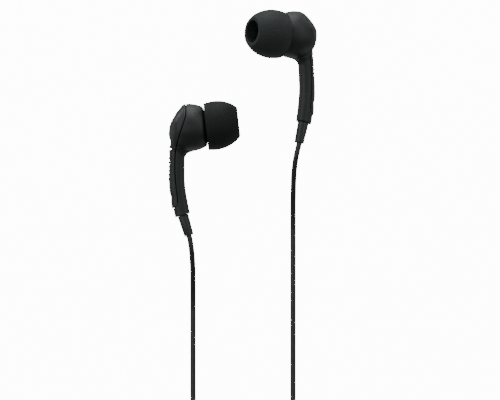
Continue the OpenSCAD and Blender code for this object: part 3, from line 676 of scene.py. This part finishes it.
def cord_piece(name, path, d, sides, material, replaced):
    """A round cord along the path, with UV that runs along it in millimetres and once round it."""
    skin = CORD_SKIN * np.clip((path[:, 1] - SKIN_END_Y) / SKIN_FADE, 0, 1)
    path = path.copy()
    path[:, 0] += SEEN_SHIFT.get(name, 0) * skin / CORD_SKIN
    path[:, 2] = np.maximum(path[:, 2], d / 2 + skin)
    points, faces = loft(tube_rings(path, d + 2 * skin, sides))
    piece = make_piece(name, points, faces, ROOT, material, replaced)
    along = lengths(path)
    layer = piece.data.uv_layers.new(name="UVMap")
    for polygon in piece.data.polygons:
        if len(polygon.vertices) != 4:
            continue
        wraps = {v % sides for v in polygon.vertices} == {0, sides - 1}
        for loop in polygon.loop_indices:
            v = piece.data.loops[loop].vertex_index
            k = sides if wraps and v % sides == 0 else v % sides
            layer.data[loop].uv = (along[v // sides], k / sides)
    return piece


TIE_ROUND = 0.3
# The band's section, in shares of its thickness outwards and of its width, with broken edges
TIE_SECTION = [
    (0, -0.42), (0.06, -0.5), (0.94, -0.5), (1, -0.42), (1, 0.42), (0.94, 0.5), (0.06, 0.5), (0, 0.42),
]


def tie_outline(half_w, half_h):
    """The inner outline of a band round a coil's turns: a rectangle with round corners."""
    points = []
    for corner, (sx, sz) in enumerate(((1, 1), (-1, 1), (-1, -1), (1, -1))):
        middle = sx * (half_w - TIE_ROUND), sz * (half_h - TIE_ROUND)
        points += arc(middle, TIE_ROUND, 90 * corner, 90 * corner + 90, 4)
    return np.array(points)


def tie_piece(name, coil, replaced):
    """A flat band round all the turns of a coil at one place."""
    half_w = (coil.loops / coil.layers * coil.pitch + coil.d) / 2 + TIE_PLAY
    half_h = ((coil.layers - 1) * coil.pitch + coil.d) / 2 + TIE_SLACK
    outline = tie_outline(half_w, half_h)
    along = np.roll(outline, -1, axis=0) - np.roll(outline, 1, axis=0)
    outward = np.stack([along[:, 1], -along[:, 0]], 1) / np.linalg.norm(along, axis=1)[:, None]
    rings = []
    for thickness, width in TIE_SECTION:
        flat = outline + outward * TIE_T * thickness
        rings.append(np.column_stack([flat[:, 0], np.full(len(flat), width * TIE_W), flat[:, 1]]))
    n = len(outline)
    starts = [(i * n, (i + 1) % len(rings) * n) for i in range(len(rings))]
    faces = [[a + k, a + (k + 1) % n, b + (k + 1) % n, b + k] for a, b in starts for k in range(n)]
    place = move((*coil.middle, TIE_T + half_h)) @ turn("Z", coil.tie_at) @ move((coil.mean_d / 2, 0, 0))
    return make_piece(name, apply(place, np.concatenate(rings)), faces, ROOT, "tie", replaced)


# The Y split's sections: share of its length, half width and half height
SPLIT_STATIONS = [
    (0, 1.9, 1.2), (0.03, 2.2, 1.45), (0.12, 2.38, 1.58), (0.3, 2.38, 1.6), (0.5, 2.15, 1.6),
    (0.72, 1.75, 1.5), (0.9, 1.45, 1.38), (0.98, 1.3, 1.25), (1, 1.1, 1.05),
]
SPLIT_SIDES = 40


def soft(wave):
    """A circle's cosine or sine, turned into a soft square's."""
    return np.sign(wave) * np.abs(wave) ** (2 / SOFT_SQUARE)


def split_piece():
    """The Y split: a smooth moulded sleeve, wide at its two inlets and narrow at its outlet."""
    angles = np.linspace(0, 2 * math.pi, SPLIT_SIDES, endpoint=False)
    rings = [
        SPLIT_IN + np.column_stack([
            half_w * soft(np.cos(angles)), np.full(SPLIT_SIDES, -SPLIT_LEN * share),
            half_h * soft(np.sin(angles)),
        ])
        for share, half_w, half_h in spline(SPLIT_STATIONS, 3)
    ]
    points, faces = loft(rings)
    return make_piece("y_split_sleeve", points, faces, ROOT, "relief", ["y_split"])


# ---- Plug: z runs from the cord to the tip of the shaft

PLUG_POSE = move(PLUG_IN) @ turn("X", 90)
SHAFT_START = BOOT_LEN + GRIP_LEN
TIP_CONTACT = 4.4
INSULATOR = 0.6
RING_LEN = 2.9
SLEEVE_LEN = PLUG_LEN - TIP_CONTACT - RING_LEN - 2 * INSULATOR
CORE_R = 0.9
EDGE_BREAK = 0.04
SHAFT_SIDES = 64

BOOT_END_R = 1.45
BOOT_ROOT_R = 2
BOOT_PLAY = 0.02
BOOT_SEAT = 1.4
BOOT_ROUND = 0.12
BOOT_SIDES = 48
GROOVES = 4
# A groove's outline, from the boot's surface at its middle
GROOVE = [(-0.02, -0.3), (-0.3, -0.25), (-0.3, 0.25), (0.02, 0.3)]

# The grip's waist: its depth, where it starts and where it ends before the step at the shaft
WAIST_DEPTH = 0.25
WAIST_START = 0.6
WAIST_END = 0.4
WAIST_STEPS = 12
GRIP_STEP_R = 2.3
GRIP_STEP_LEN = 0.8
GRIP_ROUND = 0.35

# The tip contact's outline: its groove and head from its insulator, and its blunt cone from the plug's end
POINT_GROOVE = [(PLUG_D / 2, 0.5), (1.2, 1.4), (1.2, 1.7), (1.68, 2.7), (1.68, 2.9)]
POINT_CONE = [(1, -0.25), (0.6, 0), (0, 0)]
POINT_BACK = 0.4
POINT_ROUND = 0.12


def plug_part(name, profile, segments, material, replaced):
    """A turned piece of the plug from its profile of (radius, z)."""
    points, faces = revolve(profile, segments)
    return make_piece(name, apply(PLUG_POSE, points), faces, ROOT, material, replaced)


def lifted(profile, by):
    return [(r, z + by) for r, z in profile]


def plug_boot():
    """A tapered strain relief with grooves."""
    bore = MAIN_D / 2 + BOOT_PLAY
    profile = [(bore, BOOT_SEAT), (bore, 0), (BOOT_END_R, 0)]
    for k in range(1, GROOVES + 1):
        z = k * BOOT_LEN / (GROOVES + 1)
        r = BOOT_END_R + (BOOT_ROOT_R - BOOT_END_R) * z / BOOT_LEN
        profile += [(r + out, z + along) for out, along in GROOVE]
    profile += [(BOOT_ROOT_R, BOOT_LEN), (0, BOOT_LEN)]
    outline = rounded(profile, BOOT_ROUND)
    return plug_part("plug_boot", outline, BOOT_SIDES, "relief", ["plug_strain_relief"])


def plug_handle():
    """The grip: a slightly waisted cylinder with rounded ends and a step before the shaft."""
    r = GRIP_D / 2
    step_z = GRIP_LEN - GRIP_STEP_LEN
    waist_len = step_z - WAIST_START - WAIST_END
    waist = [
        (r - WAIST_DEPTH * math.sin(math.pi * t), WAIST_START + waist_len * t)
        for t in np.linspace(0, 1, WAIST_STEPS + 1)
    ]
    step = [(r, step_z), (GRIP_STEP_R, step_z), (GRIP_STEP_R, GRIP_LEN)]
    profile = [(0, 0), (r, 0), *waist, *step, (0, GRIP_LEN)]
    outline = lifted(rounded(profile, GRIP_ROUND, 4), BOOT_LEN)
    return plug_part("plug_handle", outline, SHAFT_SIDES, "housing", ["plug_grip"])


def shaft_ring(name, z, h, material, replaced):
    """One ring of the shaft, with a slightly broken outer edge."""
    r = PLUG_D / 2
    edge = [(r - EDGE_BREAK, 0), (r, EDGE_BREAK), (r, h - EDGE_BREAK), (r - EDGE_BREAK, h)]
    profile = [(CORE_R, 0), *edge, (CORE_R, h)]
    return plug_part(name, lifted(profile, SHAFT_START + z), SHAFT_SIDES, material, replaced)


def plug_point():
    """The tip contact, with the groove that the jack's spring holds."""
    back = PLUG_LEN - TIP_CONTACT
    profile = [
        (0, POINT_BACK), (CORE_R, POINT_BACK), (CORE_R, back), (PLUG_D / 2 - EDGE_BREAK, back),
        (PLUG_D / 2, back + EDGE_BREAK), *lifted(POINT_GROOVE, back), *lifted(POINT_CONE, PLUG_LEN),
    ]
    outline = lifted(rounded(profile, POINT_ROUND), SHAFT_START)
    return plug_part("plug_point", outline, SHAFT_SIDES, "contact", ["plug_tip"])


def make_plug():
    second = SLEEVE_LEN + INSULATOR + RING_LEN
    insulators = [
        shaft_ring("plug_insulator_1", SLEEVE_LEN, INSULATOR, "insulator", ["plug_insulators"]),
        shaft_ring("plug_insulator_2", second, INSULATOR, "insulator", []),
    ]
    return [
        plug_boot(), plug_handle(), plug_point(), *insulators,
        shaft_ring("plug_collar", 0, SLEEVE_LEN, "contact", ["plug_sleeve"]),
        shaft_ring("plug_middle", SLEEVE_LEN + INSULATOR, RING_LEN, "contact", ["plug_ring"]),
    ]


BRANCH_SIDES = 16
MAIN_SIDES = 18


def make_cords():
    split = split_piece()
    for side in SIDES:
        path = branch_path(side)
        nodes = [f"{side}_upper_cord", f"{side}_cord_coil", f"{side}_lower_cord"]
        piece = cord_piece(f"{side}_cord", path, BRANCH_D, BRANCH_SIDES, "branch", nodes)
        tie = tie_piece(f"{side}_tie", COILS[side], [f"{side}_coil_tie"])
    path = main_path()
    nodes = ["main_cord", "main_coil", "plug_tail"]
    piece = cord_piece("main_cable", path, MAIN_D, MAIN_SIDES, "main", nodes)
    tie = tie_piece("main_cable_tie", COILS["main"], ["main_tie"])
    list(make_plug())


# ---- Housing: a distance field in the earbud frame, negative inside, turned into a mesh

BEND = spline(BEND_POINTS, 8)[::-1]
SEAM = spline(SEAM_POINTS, 6)[::-1]
DOME_END = DOME_R + DOME_BULGE
DOME_GIRTH = BOWL_D / 2 - DOME_TAPER
# Roundness of edges and joints: face to chamfer, face to crown, bowl to dome, dome to sloping cut, head to
# stem, and the stem's lower end
CHAMFER_ROUND = 0.4
CROWN_ROUND = 0.12
DOME_JOINT = 0.06
CUT_ROUND = 0.3
STEM_JOINT = 0.5
END_ROUND = 0.1
# Of the parting line, the ribs, the vent and the recess
SEAM_ROUND = 0.2
RIB_ROUND = 0.12
VENT_ROUND = 0.06
RECESS_ROUND = 0.3


def smooth_max(a, b, k):
    """The larger of two fields, with the edge between them rounded."""
    return np.maximum(a, b) + np.maximum(k - np.abs(a - b), 0) ** 2 / (4 * k)


def smooth_min(a, b, k):
    return -smooth_max(-a, -b, k)


def about_axis(matrix, x, y, z):
    """How far points are from a frame's z axis, and along it."""
    m = np.array(matrix.inverted())
    u, v, along = (m[i, 0] * x + m[i, 1] * y + m[i, 2] * z + m[i, 3] for i in range(3))
    return np.hypot(u, v), along


def bend(z):
    """How far the stem is bent forward at height z."""
    return np.where(z > BEND_POINTS[0][0], 0, np.interp(z, BEND[:, 0], BEND[:, 1]))


def flare(z, z0):
    """How far the stem widens above height z0, in a round fillet."""
    drop = STEM_FILLET - np.sqrt(np.maximum(STEM_FILLET**2 - (z - z0) ** 2, FILLET_STOP**2))
    return np.where(z <= z0, 0, drop)


def crown_corner():
    """Where the bowl's crown meets the cone behind it."""
    normal = (-math.sin(CONE_SLOPE), math.cos(CONE_SLOPE))
    reach = DOME_R - normal[0] * BOWL_MID[0] - normal[1] * BOWL_MID[1]
    half = math.sqrt(BOWL_CROWN_R**2 - reach**2)
    return BOWL_MID[0] + reach * normal[0] + half * math.cos(CONE_SLOPE)


def bowl_field(x, y, z):
    """The crowned bowl and its tilted face, whose edge is a chamfer of 45 degrees."""
    crown = np.hypot(x - BOWL_MID[0], np.hypot(y, z) - BOWL_MID[1]) - BOWL_CROWN_R
    r, ahead = about_axis(NOZZLE, x, y, z)
    edge = FACE_R - FACE_ROUND + FACE_ROUND * (math.cos(math.pi / 6) - 0.5)
    chamfer = (r + ahead - edge) / math.sqrt(2)
    face = smooth_max(ahead, chamfer, CHAMFER_ROUND)
    return np.maximum(smooth_max(crown, face, CROWN_ROUND), crown_corner() - x)


def dome_field(x, radius):
    f = (np.abs(x) / DOME_END) ** DOME_SWELL + (radius / DOME_GIRTH) ** DOME_SWELL
    return np.maximum(DOME_GIRTH * f ** (1 / DOME_SWELL) - DOME_GIRTH, x)


# The cut's flattest and tallest oval, and what scales its field to about a distance
OVAL_LOW, OVAL_HIGH = 0.45, 1.6
OVAL_SCALE = 0.7


def cone_field(x, y, z):
    """The sloping cut above the dome, in sections that are flat ovals as wide as the dome."""
    share = np.clip(-x / DOME_END, 0, 1)
    half_w = DOME_GIRTH * np.maximum(1 - share**DOME_SWELL, 1e-9) ** (1 / DOME_SWELL)
    cone = (DOME_R + CUT_SKIN + x * math.sin(CONE_SLOPE)) / math.cos(CONE_SLOPE)
    ball = np.sqrt(np.maximum(DOME_R**2 - x**2, 0))
    top = np.where(x > -DOME_R * math.sin(CONE_SLOPE), cone, ball)
    low = np.clip(top / half_w, OVAL_LOW, OVAL_HIGH)
    oval = (np.abs(y) ** CUT_OVAL + np.abs(z / low) ** CUT_OVAL) ** (1 / CUT_OVAL)
    return np.where(z > 0, (oval - half_w) * low * OVAL_SCALE, -1)


def stem_field(x, y, z, step):
    """The bent stem, whose sections are soft squares, with its flares in front and at its sides."""
    side_z = -math.sqrt((BOWL_D / 2 + STEM_FILLET) ** 2 - (STEM_W / 2 + STEM_FILLET) ** 2)
    front = STEM_FRONT_X + STEM_SKIN + bend(z) + flare(np.minimum(z, FILLET_Z + FILLET_H), FILLET_Z)
    lean = LEAN * np.maximum(z - LEAN_Z, 0) ** 2
    drop = step * np.clip((STEP_TOP_Z - z) / STEP_RUN, 0, 1)
    back = STEM_BACK_X + bend(z) + lean - drop - np.interp(z, *zip(*BACK_SWELL))
    forward = np.clip((x - STEM_BACK_X) / STEM_DEPTH, 0, 1)
    half_w = STEM_W / 2 + forward * flare(np.minimum(z, side_z + SIDE_FILLET_H), side_z)
    half = (front - back) / 2
    across = np.abs(x - (front + back) / 2) / half
    f = (across**SOFT_SQUARE + (np.abs(y) / half_w) ** SOFT_SQUARE) ** (1 / SOFT_SQUARE) - 1
    return np.maximum(f * np.minimum(half, half_w), z - STEM_TOP_Z)


# The cut's edge gets its full roundness at this height
CUT_FULL_Z = 2


def form_field(x, y, z, step):
    """The housing's whole outer form with its skin."""
    head = smooth_min(bowl_field(x, y, z), dome_field(x, np.hypot(y, z)), DOME_JOINT)
    head = smooth_max(head, cone_field(x, y, z), CUT_ROUND * np.clip(z / CUT_FULL_Z, 0.01, 1))
    body = smooth_min(head - HEAD_SKIN, stem_field(x, y, z, step), STEM_JOINT)
    below = about_axis(RELIEF, x, y, z)[1]
    return smooth_max(body - SKIN, below - END_SKIN, END_ROUND)


def seam_field(x, z):
    """The distance ahead of the parting line."""
    slope = np.gradient(SEAM[:, 1], SEAM[:, 0])
    steep = np.interp(z, SEAM[:, 0], slope)
    return (x - np.interp(z, SEAM[:, 0], SEAM[:, 1])) / np.sqrt(1 + steep**2)


HOLE_PLAY = 0.02
RELIEF_NECK_R = RELIEF_TOP_D / 2 - 0.25
NECK_REACH = 2
# The room of the strain relief's head at each end
HEAD_ROOM = 0.15


def hollow_field(x, y, z, form):
    """What is cut from inside: the hollow, the nozzle's hole and the strain relief's seat."""
    r, ahead = about_axis(NOZZLE, x, y, z)
    hole = np.maximum(r - COLLAR_D / 2 - HOLE_PLAY, np.abs(ahead) - POCKET_DEPTH)
    r, below = about_axis(RELIEF, x, y, z)
    neck = np.maximum(r - RELIEF_NECK_R - RELIEF_PLAY, np.abs(below) - NECK_REACH)
    half = HEAD_LEN / 2 + HEAD_ROOM
    head = np.maximum(r - HEAD_R - RELIEF_PLAY, np.abs(below + END_WALL + half) - half)
    return reduce(np.minimum, [form + WALL, hole, neck, head])


TONGUE_IN = 0.4
TONGUE_LEN = 0.7
TONGUE_PLAY = 0.05


def tongue_field(seam, form, play):
    """The front housing's tongue, which reaches behind the parting line inside the rear cover."""
    return np.maximum(form + TONGUE_IN - play, -TONGUE_LEN - play - seam)


# The gap closes by this share on the bowl's left side, above BOWL_SEAM_Z, and to END_SEAM below END_SEAM_Z
BOWL_CLOSING = 0.75
BOWL_SEAM_Z = -5.5
CLOSING_RUN = 2
END_SEAM = 0.3
END_SEAM_Z = -18.8


def seam_width(y, z):
    """The gap's share of its full width."""
    left, high = np.clip(y / CLOSING_RUN, 0, 1), np.clip((z - BOWL_SEAM_Z) / CLOSING_RUN, 0, 1)
    return np.where(z < END_SEAM_Z, END_SEAM, 1 - BOWL_CLOSING * left * high)


def half_form(x, y, z, step, way):
    """The form on one side of the parting line, the whole form, and the distance ahead of the line."""
    form = form_field(x, y, z, step)
    seam = seam_field(x, z)
    wide = seam_width(y, z)
    return smooth_max(form, SEAM_GAP / 2 * wide + way * seam, SEAM_ROUND * wide), form, seam


def front_field(x, y, z):
    """The front housing: the form ahead of the parting line, with its tongue, hollowed."""
    outer, form, seam = half_form(x, y, z, 0, -1)
    outer = np.minimum(outer, tongue_field(seam, form, 0))
    return np.maximum(outer, -hollow_field(x, y, z, form))


def rib_field(x, y, z, k):
    """One of the grip ribs on the stem's back, counted from the top."""
    rib_z = RIB_TOP_Z - k * RIB_PITCH - RIB_T / 2
    sides = np.maximum(np.abs(z - rib_z) - RIB_T / 2, np.abs(y) - RIB_W / 2)
    return np.maximum(sides, np.abs(x - STEM_BACK_X) - RIB_H - SKIN)


def rear_field(x, y, z):
    """The rear cover: the form behind the parting line, with its ribs, vent and recess, hollowed."""
    outer, form, seam = half_form(x, y, z, COVER_STEP, 1)
    outer = np.maximum(outer, -tongue_field(seam, form_field(x, y, z, 0), TONGUE_PLAY))
    for k in range(RIB_COUNT):
        outer = smooth_min(outer, rib_field(x, y, z, k), RIB_ROUND)
    vent = np.maximum(np.abs(z - VENT_Z) - VENT_H / 2, x - STEM_BACK_X - VENT_DEPTH)
    recess = RECESS_R - np.hypot(x - (STEM_BACK_X + RECESS_DEPTH - RECESS_R), z - RECESS_Z)
    outer = smooth_max(outer, -vent, VENT_ROUND)
    outer = smooth_max(outer, recess, RECESS_ROUND)
    return np.maximum(outer, -hollow_field(x, y, z, form))


CORNERS = [(i, j, k) for i in (0, 1) for j in (0, 1) for k in (0, 1)]
EDGES = [(a, b) for a in CORNERS for b in CORNERS if sorted(np.subtract(b, a)) == [0, 0, 1]]


def net_points(values, cells):
    """The mean of the places where the surface crosses each cell's edges, in cells."""
    at = {c: values[tuple((cells + c).T)] for c in CORNERS}
    total, hits = np.zeros((len(cells), 3)), np.zeros(len(cells))
    for a, b in EDGES:
        crossed = (at[a] < 0) != (at[b] < 0)
        t = np.where(crossed, at[a] / np.where(crossed, at[a] - at[b], 1), 0)
        total += crossed[:, None] * (np.array(a) + t[:, None] * (np.array(b) - np.array(a)))
        hits += crossed
    return cells + total / hits[:, None]


def net_faces(inside, number, axis):
    """The faces across those grid edges along an axis that cross the surface."""
    one, two = (axis + 1) % 3, (axis + 2) % 3
    here, there = (
        inside[tuple(run if i == axis else slice(1, -1) for i in range(3))]
        for run in (slice(0, -1), slice(1, None))
    )
    faces = []
    for leaves in (True, False):
        hit = np.argwhere((here == leaves) & (there != leaves))
        quad = []
        for i, j in ((0, 0), (1, 0), (1, 1), (0, 1)):
            cell = hit.copy()
            cell[:, one] += i
            cell[:, two] += j
            quad.append(number[tuple(cell.T)])
        faces.append(np.stack(quad if leaves else quad[::-1], 1))
    return faces


def surface_net(field, low, high, step):
    """Points and faces of the zero surface of a field: one point in each grid cell that it crosses."""
    axes = [np.arange(a, b + step, step) for a, b in zip(low, high)]
    values = field(*np.meshgrid(*axes, indexing="ij", sparse=True))
    inside = values < 0
    shape = np.array(values.shape) - 1
    count = sum(inside[tuple(slice(a, a + n) for a, n in zip(c, shape))].astype(int) for c in CORNERS)
    cells = np.argwhere((count > 0) & (count < 8))
    number = -np.ones(shape, int)
    number[tuple(cells.T)] = np.arange(len(cells))
    faces = [quads for axis in range(3) for quads in net_faces(inside, number, axis)]
    return np.array(low) + net_points(values, cells) * step, np.concatenate(faces)


# The step in which slopes are measured, and the least square of a slope that is trusted
PROBE = 0.004
LEAST_SLOPE = 0.2
SETTLE_ROUNDS = 4
SETTLE_REACH = 0.08


def settle(field, points):
    """The points moved onto the field's zero surface."""
    points = points.copy()
    for _ in range(SETTLE_ROUNDS):
        pairs = [(points + step, points - step) for step in PROBE * np.eye(3)]
        slope = np.stack([(field(*a.T) - field(*b.T)) / (2 * PROBE) for a, b in pairs], 1)
        steep = np.maximum((slope**2).sum(1), LEAST_SLOPE)
        shift = -field(*points.T)[:, None] * slope / steep[:, None]
        points += np.clip(shift, -SETTLE_REACH, SETTLE_REACH)
    return points


GRID = 0.12
BOX_LOW = (-5.9, -6.2, -23.2)
BOX_HIGH = (4.9, 6.2, 6.2)


def make_housings():
    for part, field, node in (("front", front_field, "front_housing"), ("rear", rear_field, "rear_cover")):
        points, faces = surface_net(field, BOX_LOW, BOX_HIGH, GRID)
        points = settle(field, points)
        make_pair(f"housing_{part}", Matrix(), points, faces.tolist(), "housing", node)


# ---- Nozzles, ear tips and strain reliefs

NOZZLE_SIDES = 96
NOZZLE_ROUND = 0.06
# The visible collar starts just ahead of the face
COLLAR_START = 0.02


def make_nozzles():
    """Flanged tubes with a collar between face and tip, a neck, and a lip that holds the tip."""
    collar_r = COLLAR_D / 2
    lip_r = NOZZLE_LIP_D / 2
    bore_r = NOZZLE_BORE_D / 2
    lip_z = NOZZLE_LEN - LIP_LEN
    seat_r = MESH_SEAT_D / 2
    profile = [
        (bore_r, -POCKET_DEPTH), (FLANGE_D / 2, -POCKET_DEPTH), (FLANGE_D / 2, FLANGE_T - POCKET_DEPTH),
        (collar_r, FLANGE_T - POCKET_DEPTH), (collar_r, COLLAR_START),
        (collar_r + COLLAR_SWELL, COLLAR_START), (collar_r + COLLAR_SWELL, COLLAR_T),
        (NOZZLE_NECK_D / 2, COLLAR_T), (NOZZLE_NECK_D / 2, lip_z - LIP_CONE), (lip_r, lip_z),
        (lip_r, NOZZLE_LEN - LIP_CONE), (lip_r - LIP_CONE, NOZZLE_LEN), (seat_r, NOZZLE_LEN),
        (seat_r, NOZZLE_LEN - MESH_T), (bore_r, NOZZLE_LEN - MESH_T),
    ]
    points, faces = revolve(rounded(profile, NOZZLE_ROUND)[::-1], NOZZLE_SIDES)
    make_pair("nozzle_tube", NOZZLE, points, faces, "housing", "nozzle")


TIP_SIDES = 128
RIM_ROUND = 0.12
RIM_EDGE = 0.03
# The mouth's outer and inner edges: their radii, and how far the outer one lies inside the bead
MOUTH_ROUND = 0.32
HOLE_ROUND = 0.16
MOUTH_IN = 0.2
SLEEVE_EDGE = 0.1
WEB_T = 0.6
SLEEVE_R = NOZZLE_LIP_D / 2 + SLEEVE_PLAY
SLEEVE_OUT = SLEEVE_R + SLEEVE_WALL


def crown_radius(distance, drop):
    """The radius of an arc that falls away by drop over a distance."""
    return (distance**2 + drop**2) / (2 * drop)


def tip_profile():
    """An umbrella of silicone with a beaded mouth round the sleeve that slides over the nozzle."""
    bead_end = TIP_BEAD_D / 2 + BEAD_SWELL
    bead_r = (bead_end - SLEEVE_R) / 2
    bead_z = TIP_LEN + BEAD_SWELL / 2 - bead_r
    front_r = crown_radius(bead_z - TIP_CROWN, TIP_D / 2 - bead_end - BEAD_LAP)
    rear_r = crown_radius(TIP_CROWN, (TIP_D - TIP_BASE_D) / 2)
    front_mid = (TIP_D / 2 - front_r, TIP_CROWN)
    rear_mid = (TIP_D / 2 - rear_r, TIP_CROWN)
    front_end = math.degrees(math.asin((bead_z - TIP_CROWN) / front_r))
    web_end = math.degrees(math.asin((TIP_LEN - WEB_BACK - TIP_CROWN) / (front_r - TIP_WALL)))
    rear_end = -math.degrees(math.asin(TIP_CROWN / rear_r))
    rim_end = -math.degrees(math.asin((TIP_CROWN + RIM_SKIN - RIM_ROUND) / (rear_r + TIP_SKIN)))
    rim_r = rear_mid[0] + (rear_r + TIP_SKIN) * math.cos(math.radians(rim_end))
    mouth_z = bead_z + bead_r + TIP_SKIN
    return [
        (rim_r - RIM_ROUND, -RIM_SKIN), (rim_r - RIM_EDGE, -RIM_SKIN + RIM_EDGE),
        *arc(rear_mid, rear_r + TIP_SKIN, rim_end, 0, 9),
        *arc(front_mid, front_r + TIP_SKIN, 1, front_end - 2, 28),
        *arc((bead_end - MOUTH_ROUND - MOUTH_IN, mouth_z - MOUTH_ROUND), MOUTH_ROUND, 36, 90, 8),
        *arc((SLEEVE_R + HOLE_ROUND, mouth_z - HOLE_ROUND), HOLE_ROUND, 90, 180, 6),
        (SLEEVE_R, SLEEVE_EDGE), (SLEEVE_R + SLEEVE_EDGE, 0), (SLEEVE_OUT - SLEEVE_EDGE, 0),
        (SLEEVE_OUT, SLEEVE_EDGE), (SLEEVE_OUT, TIP_LEN - WEB_BACK - WEB_T),
        *arc(front_mid, front_r - TIP_WALL, web_end, 2, 20),
        *arc(rear_mid, rear_r - TIP_WALL, 0, rear_end, 6),
    ]


# Where a tip begins to sag and sags fully: outside its sleeve, and behind its web and its mouth
FREE_START, FREE_END = 0.05, 0.4
WEB_FREE, MOUTH_FREE = 1, 0.6


def sagged(points, sag):
    """The tip's points with its skin and mouth moved sideways, and the sleeve left on the nozzle."""
    free = np.maximum(
        smooth_step(np.hypot(points[:, 0], points[:, 1]), SLEEVE_OUT + FREE_START, SLEEVE_OUT + FREE_END),
        smooth_step(points[:, 2], TIP_LEN - WEB_BACK - WEB_FREE, TIP_LEN - MOUTH_FREE),
    )
    moved = points.copy()
    moved[:, 0] += free * (sag[0] + (sag[1] - sag[0]) * points[:, 2] / TIP_LEN)
    return moved


def make_tips():
    points, faces = revolve(tip_profile()[::-1], TIP_SIDES)
    for side in SIDES:
        placed = apply(POSE[side] @ NOZZLE, sagged(points, SAG[side]) + (0, 0, COLLAR_T))
        body, material, node = f"{side}_tip", f"{side}_silicone", f"{side}_ear_tip"
        make_piece(f"{side}_tip_skin", placed, faces, body, material, [node])


RELIEF_SIDES = 64
RELIEF_ROUND = 0.1
BORE_PLAY = 0.04
BORE_DEPTH = 1.6
# The sleeve's shoulder stands this far off the housing's end
SHOULDER_GAP = 0.02


def make_reliefs():
    """Tapered rubber sleeves, bored at the end for the cord."""
    bore = BRANCH_D / 2 + CORD_SKIN + BORE_PLAY
    head_z = -END_WALL - HEAD_LEN
    shoulder = END_SKIN + SHOULDER_GAP
    profile = [
        (0, head_z), (HEAD_R, head_z), (HEAD_R, -END_WALL), (RELIEF_NECK_R, -END_WALL),
        (RELIEF_NECK_R, shoulder), (RELIEF_TOP_D / 2 + RELIEF_SKIN, shoulder),
        (RELIEF_END_D / 2 + RELIEF_SKIN, RELIEF_LEN + SKIN), (bore, RELIEF_LEN + SKIN),
        (bore, RELIEF_LEN - BORE_DEPTH), (0, RELIEF_LEN - BORE_DEPTH),
    ]
    points, faces = revolve(rounded(profile, RELIEF_ROUND)[::-1], RELIEF_SIDES)
    make_pair("relief_sleeve", RELIEF, points, faces, "relief", "strain_relief")


# ---- Table and light

# Metres
TABLE_HALF = 3.0
TABLE_GLOW = 13


def make_table():
    """A white table that is seen glowing, while the studio's lights alone light the object."""
    glow = {"Emission_Color": (1, 1, 1, 1), "Emission_Strength": TABLE_GLOW}
    material, tree, shader = new_material("white table", Roughness=0.9, Specular_IOR_Level=0.1, **glow)
    white = shades(tree, noise(tree, 0.05), (0.9,) * 3, (0.92,) * 3)
    tree.links.new(white, shader.inputs["Base Color"])
    mesh = bpy.data.meshes.new("table")
    corners = [(x * TABLE_HALF, y * TABLE_HALF, 0) for x, y in ((-1, -1), (1, -1), (1, 1), (-1, 1))]
    mesh.from_pydata(corners, [], [(0, 1, 2, 3)])
    mesh.materials.append(material)
    table = link_object("table", mesh)
    table.visible_diffuse = table.visible_glossy = table.visible_transmission = False
    table.visible_shadow = False
    material.cycles.emission_sampling = "NONE"


# The light tent: watts of its square panels, by elevation and then by azimuth from +Y towards +X.
# Most light comes from the far side. Those below the horizon light the underside, as a light table does.
PANEL = 350
PANEL_AWAY = 600
SKY = 0.17
LIGHT_TINT = (0.955, 1, 1)
TENT = {
    -45: {0: 0.19, 90: 0.14, 180: 0.17, 270: 0.06},
    -15: {0: 0.7, 45: 0.51, 90: 0.24, 135: 0.2, 180: 0.06, 270: 0.3, 315: 1.06},
    10: {0: 0.99, 45: 0.09, 225: 0.2},
    35: {0: 0.49, 45: 0.45, 90: 0.34, 270: 0.44, 315: 0.52},
    60: {45: 0.05, 90: 0.08, 270: 0.35, 315: 0.09},
    90: {0: 0.2},
}


def panel_light(azimuth, elevation, watts):
    data = bpy.data.lights.new(f"panel_{azimuth}_{elevation}", "AREA")
    data.shape = "SQUARE"
    data.size = PANEL * MM
    data.energy = watts
    data.color = LIGHT_TINT
    light = link_object(data.name, data)
    a, e = math.radians(azimuth), math.radians(elevation)
    away = Vector((math.sin(a) * math.cos(e), math.cos(a) * math.cos(e), math.sin(e)))
    light.location = (Vector((0, 0, FOCUS_Z)) + PANEL_AWAY * away) * MM
    light.rotation_mode = "QUATERNION"
    light.rotation_quaternion = (-away).to_track_quat("-Z", "Y")


def make_lights():
    world = bpy.data.worlds.new("studio")
    world.use_nodes = True
    set_inputs(world.node_tree.nodes["Background"], Color=(*LIGHT_TINT, 1), Strength=SKY)
    bpy.context.scene.world = world
    for elevation, ring in TENT.items():
        for azimuth, watts in ring.items():
            panel_light(azimuth, elevation, watts)


make_camera()
make_cords()
make_housings()
make_nozzles()
make_tips()
make_reliefs()
finish_inner_parts()
make_table()
make_lights()
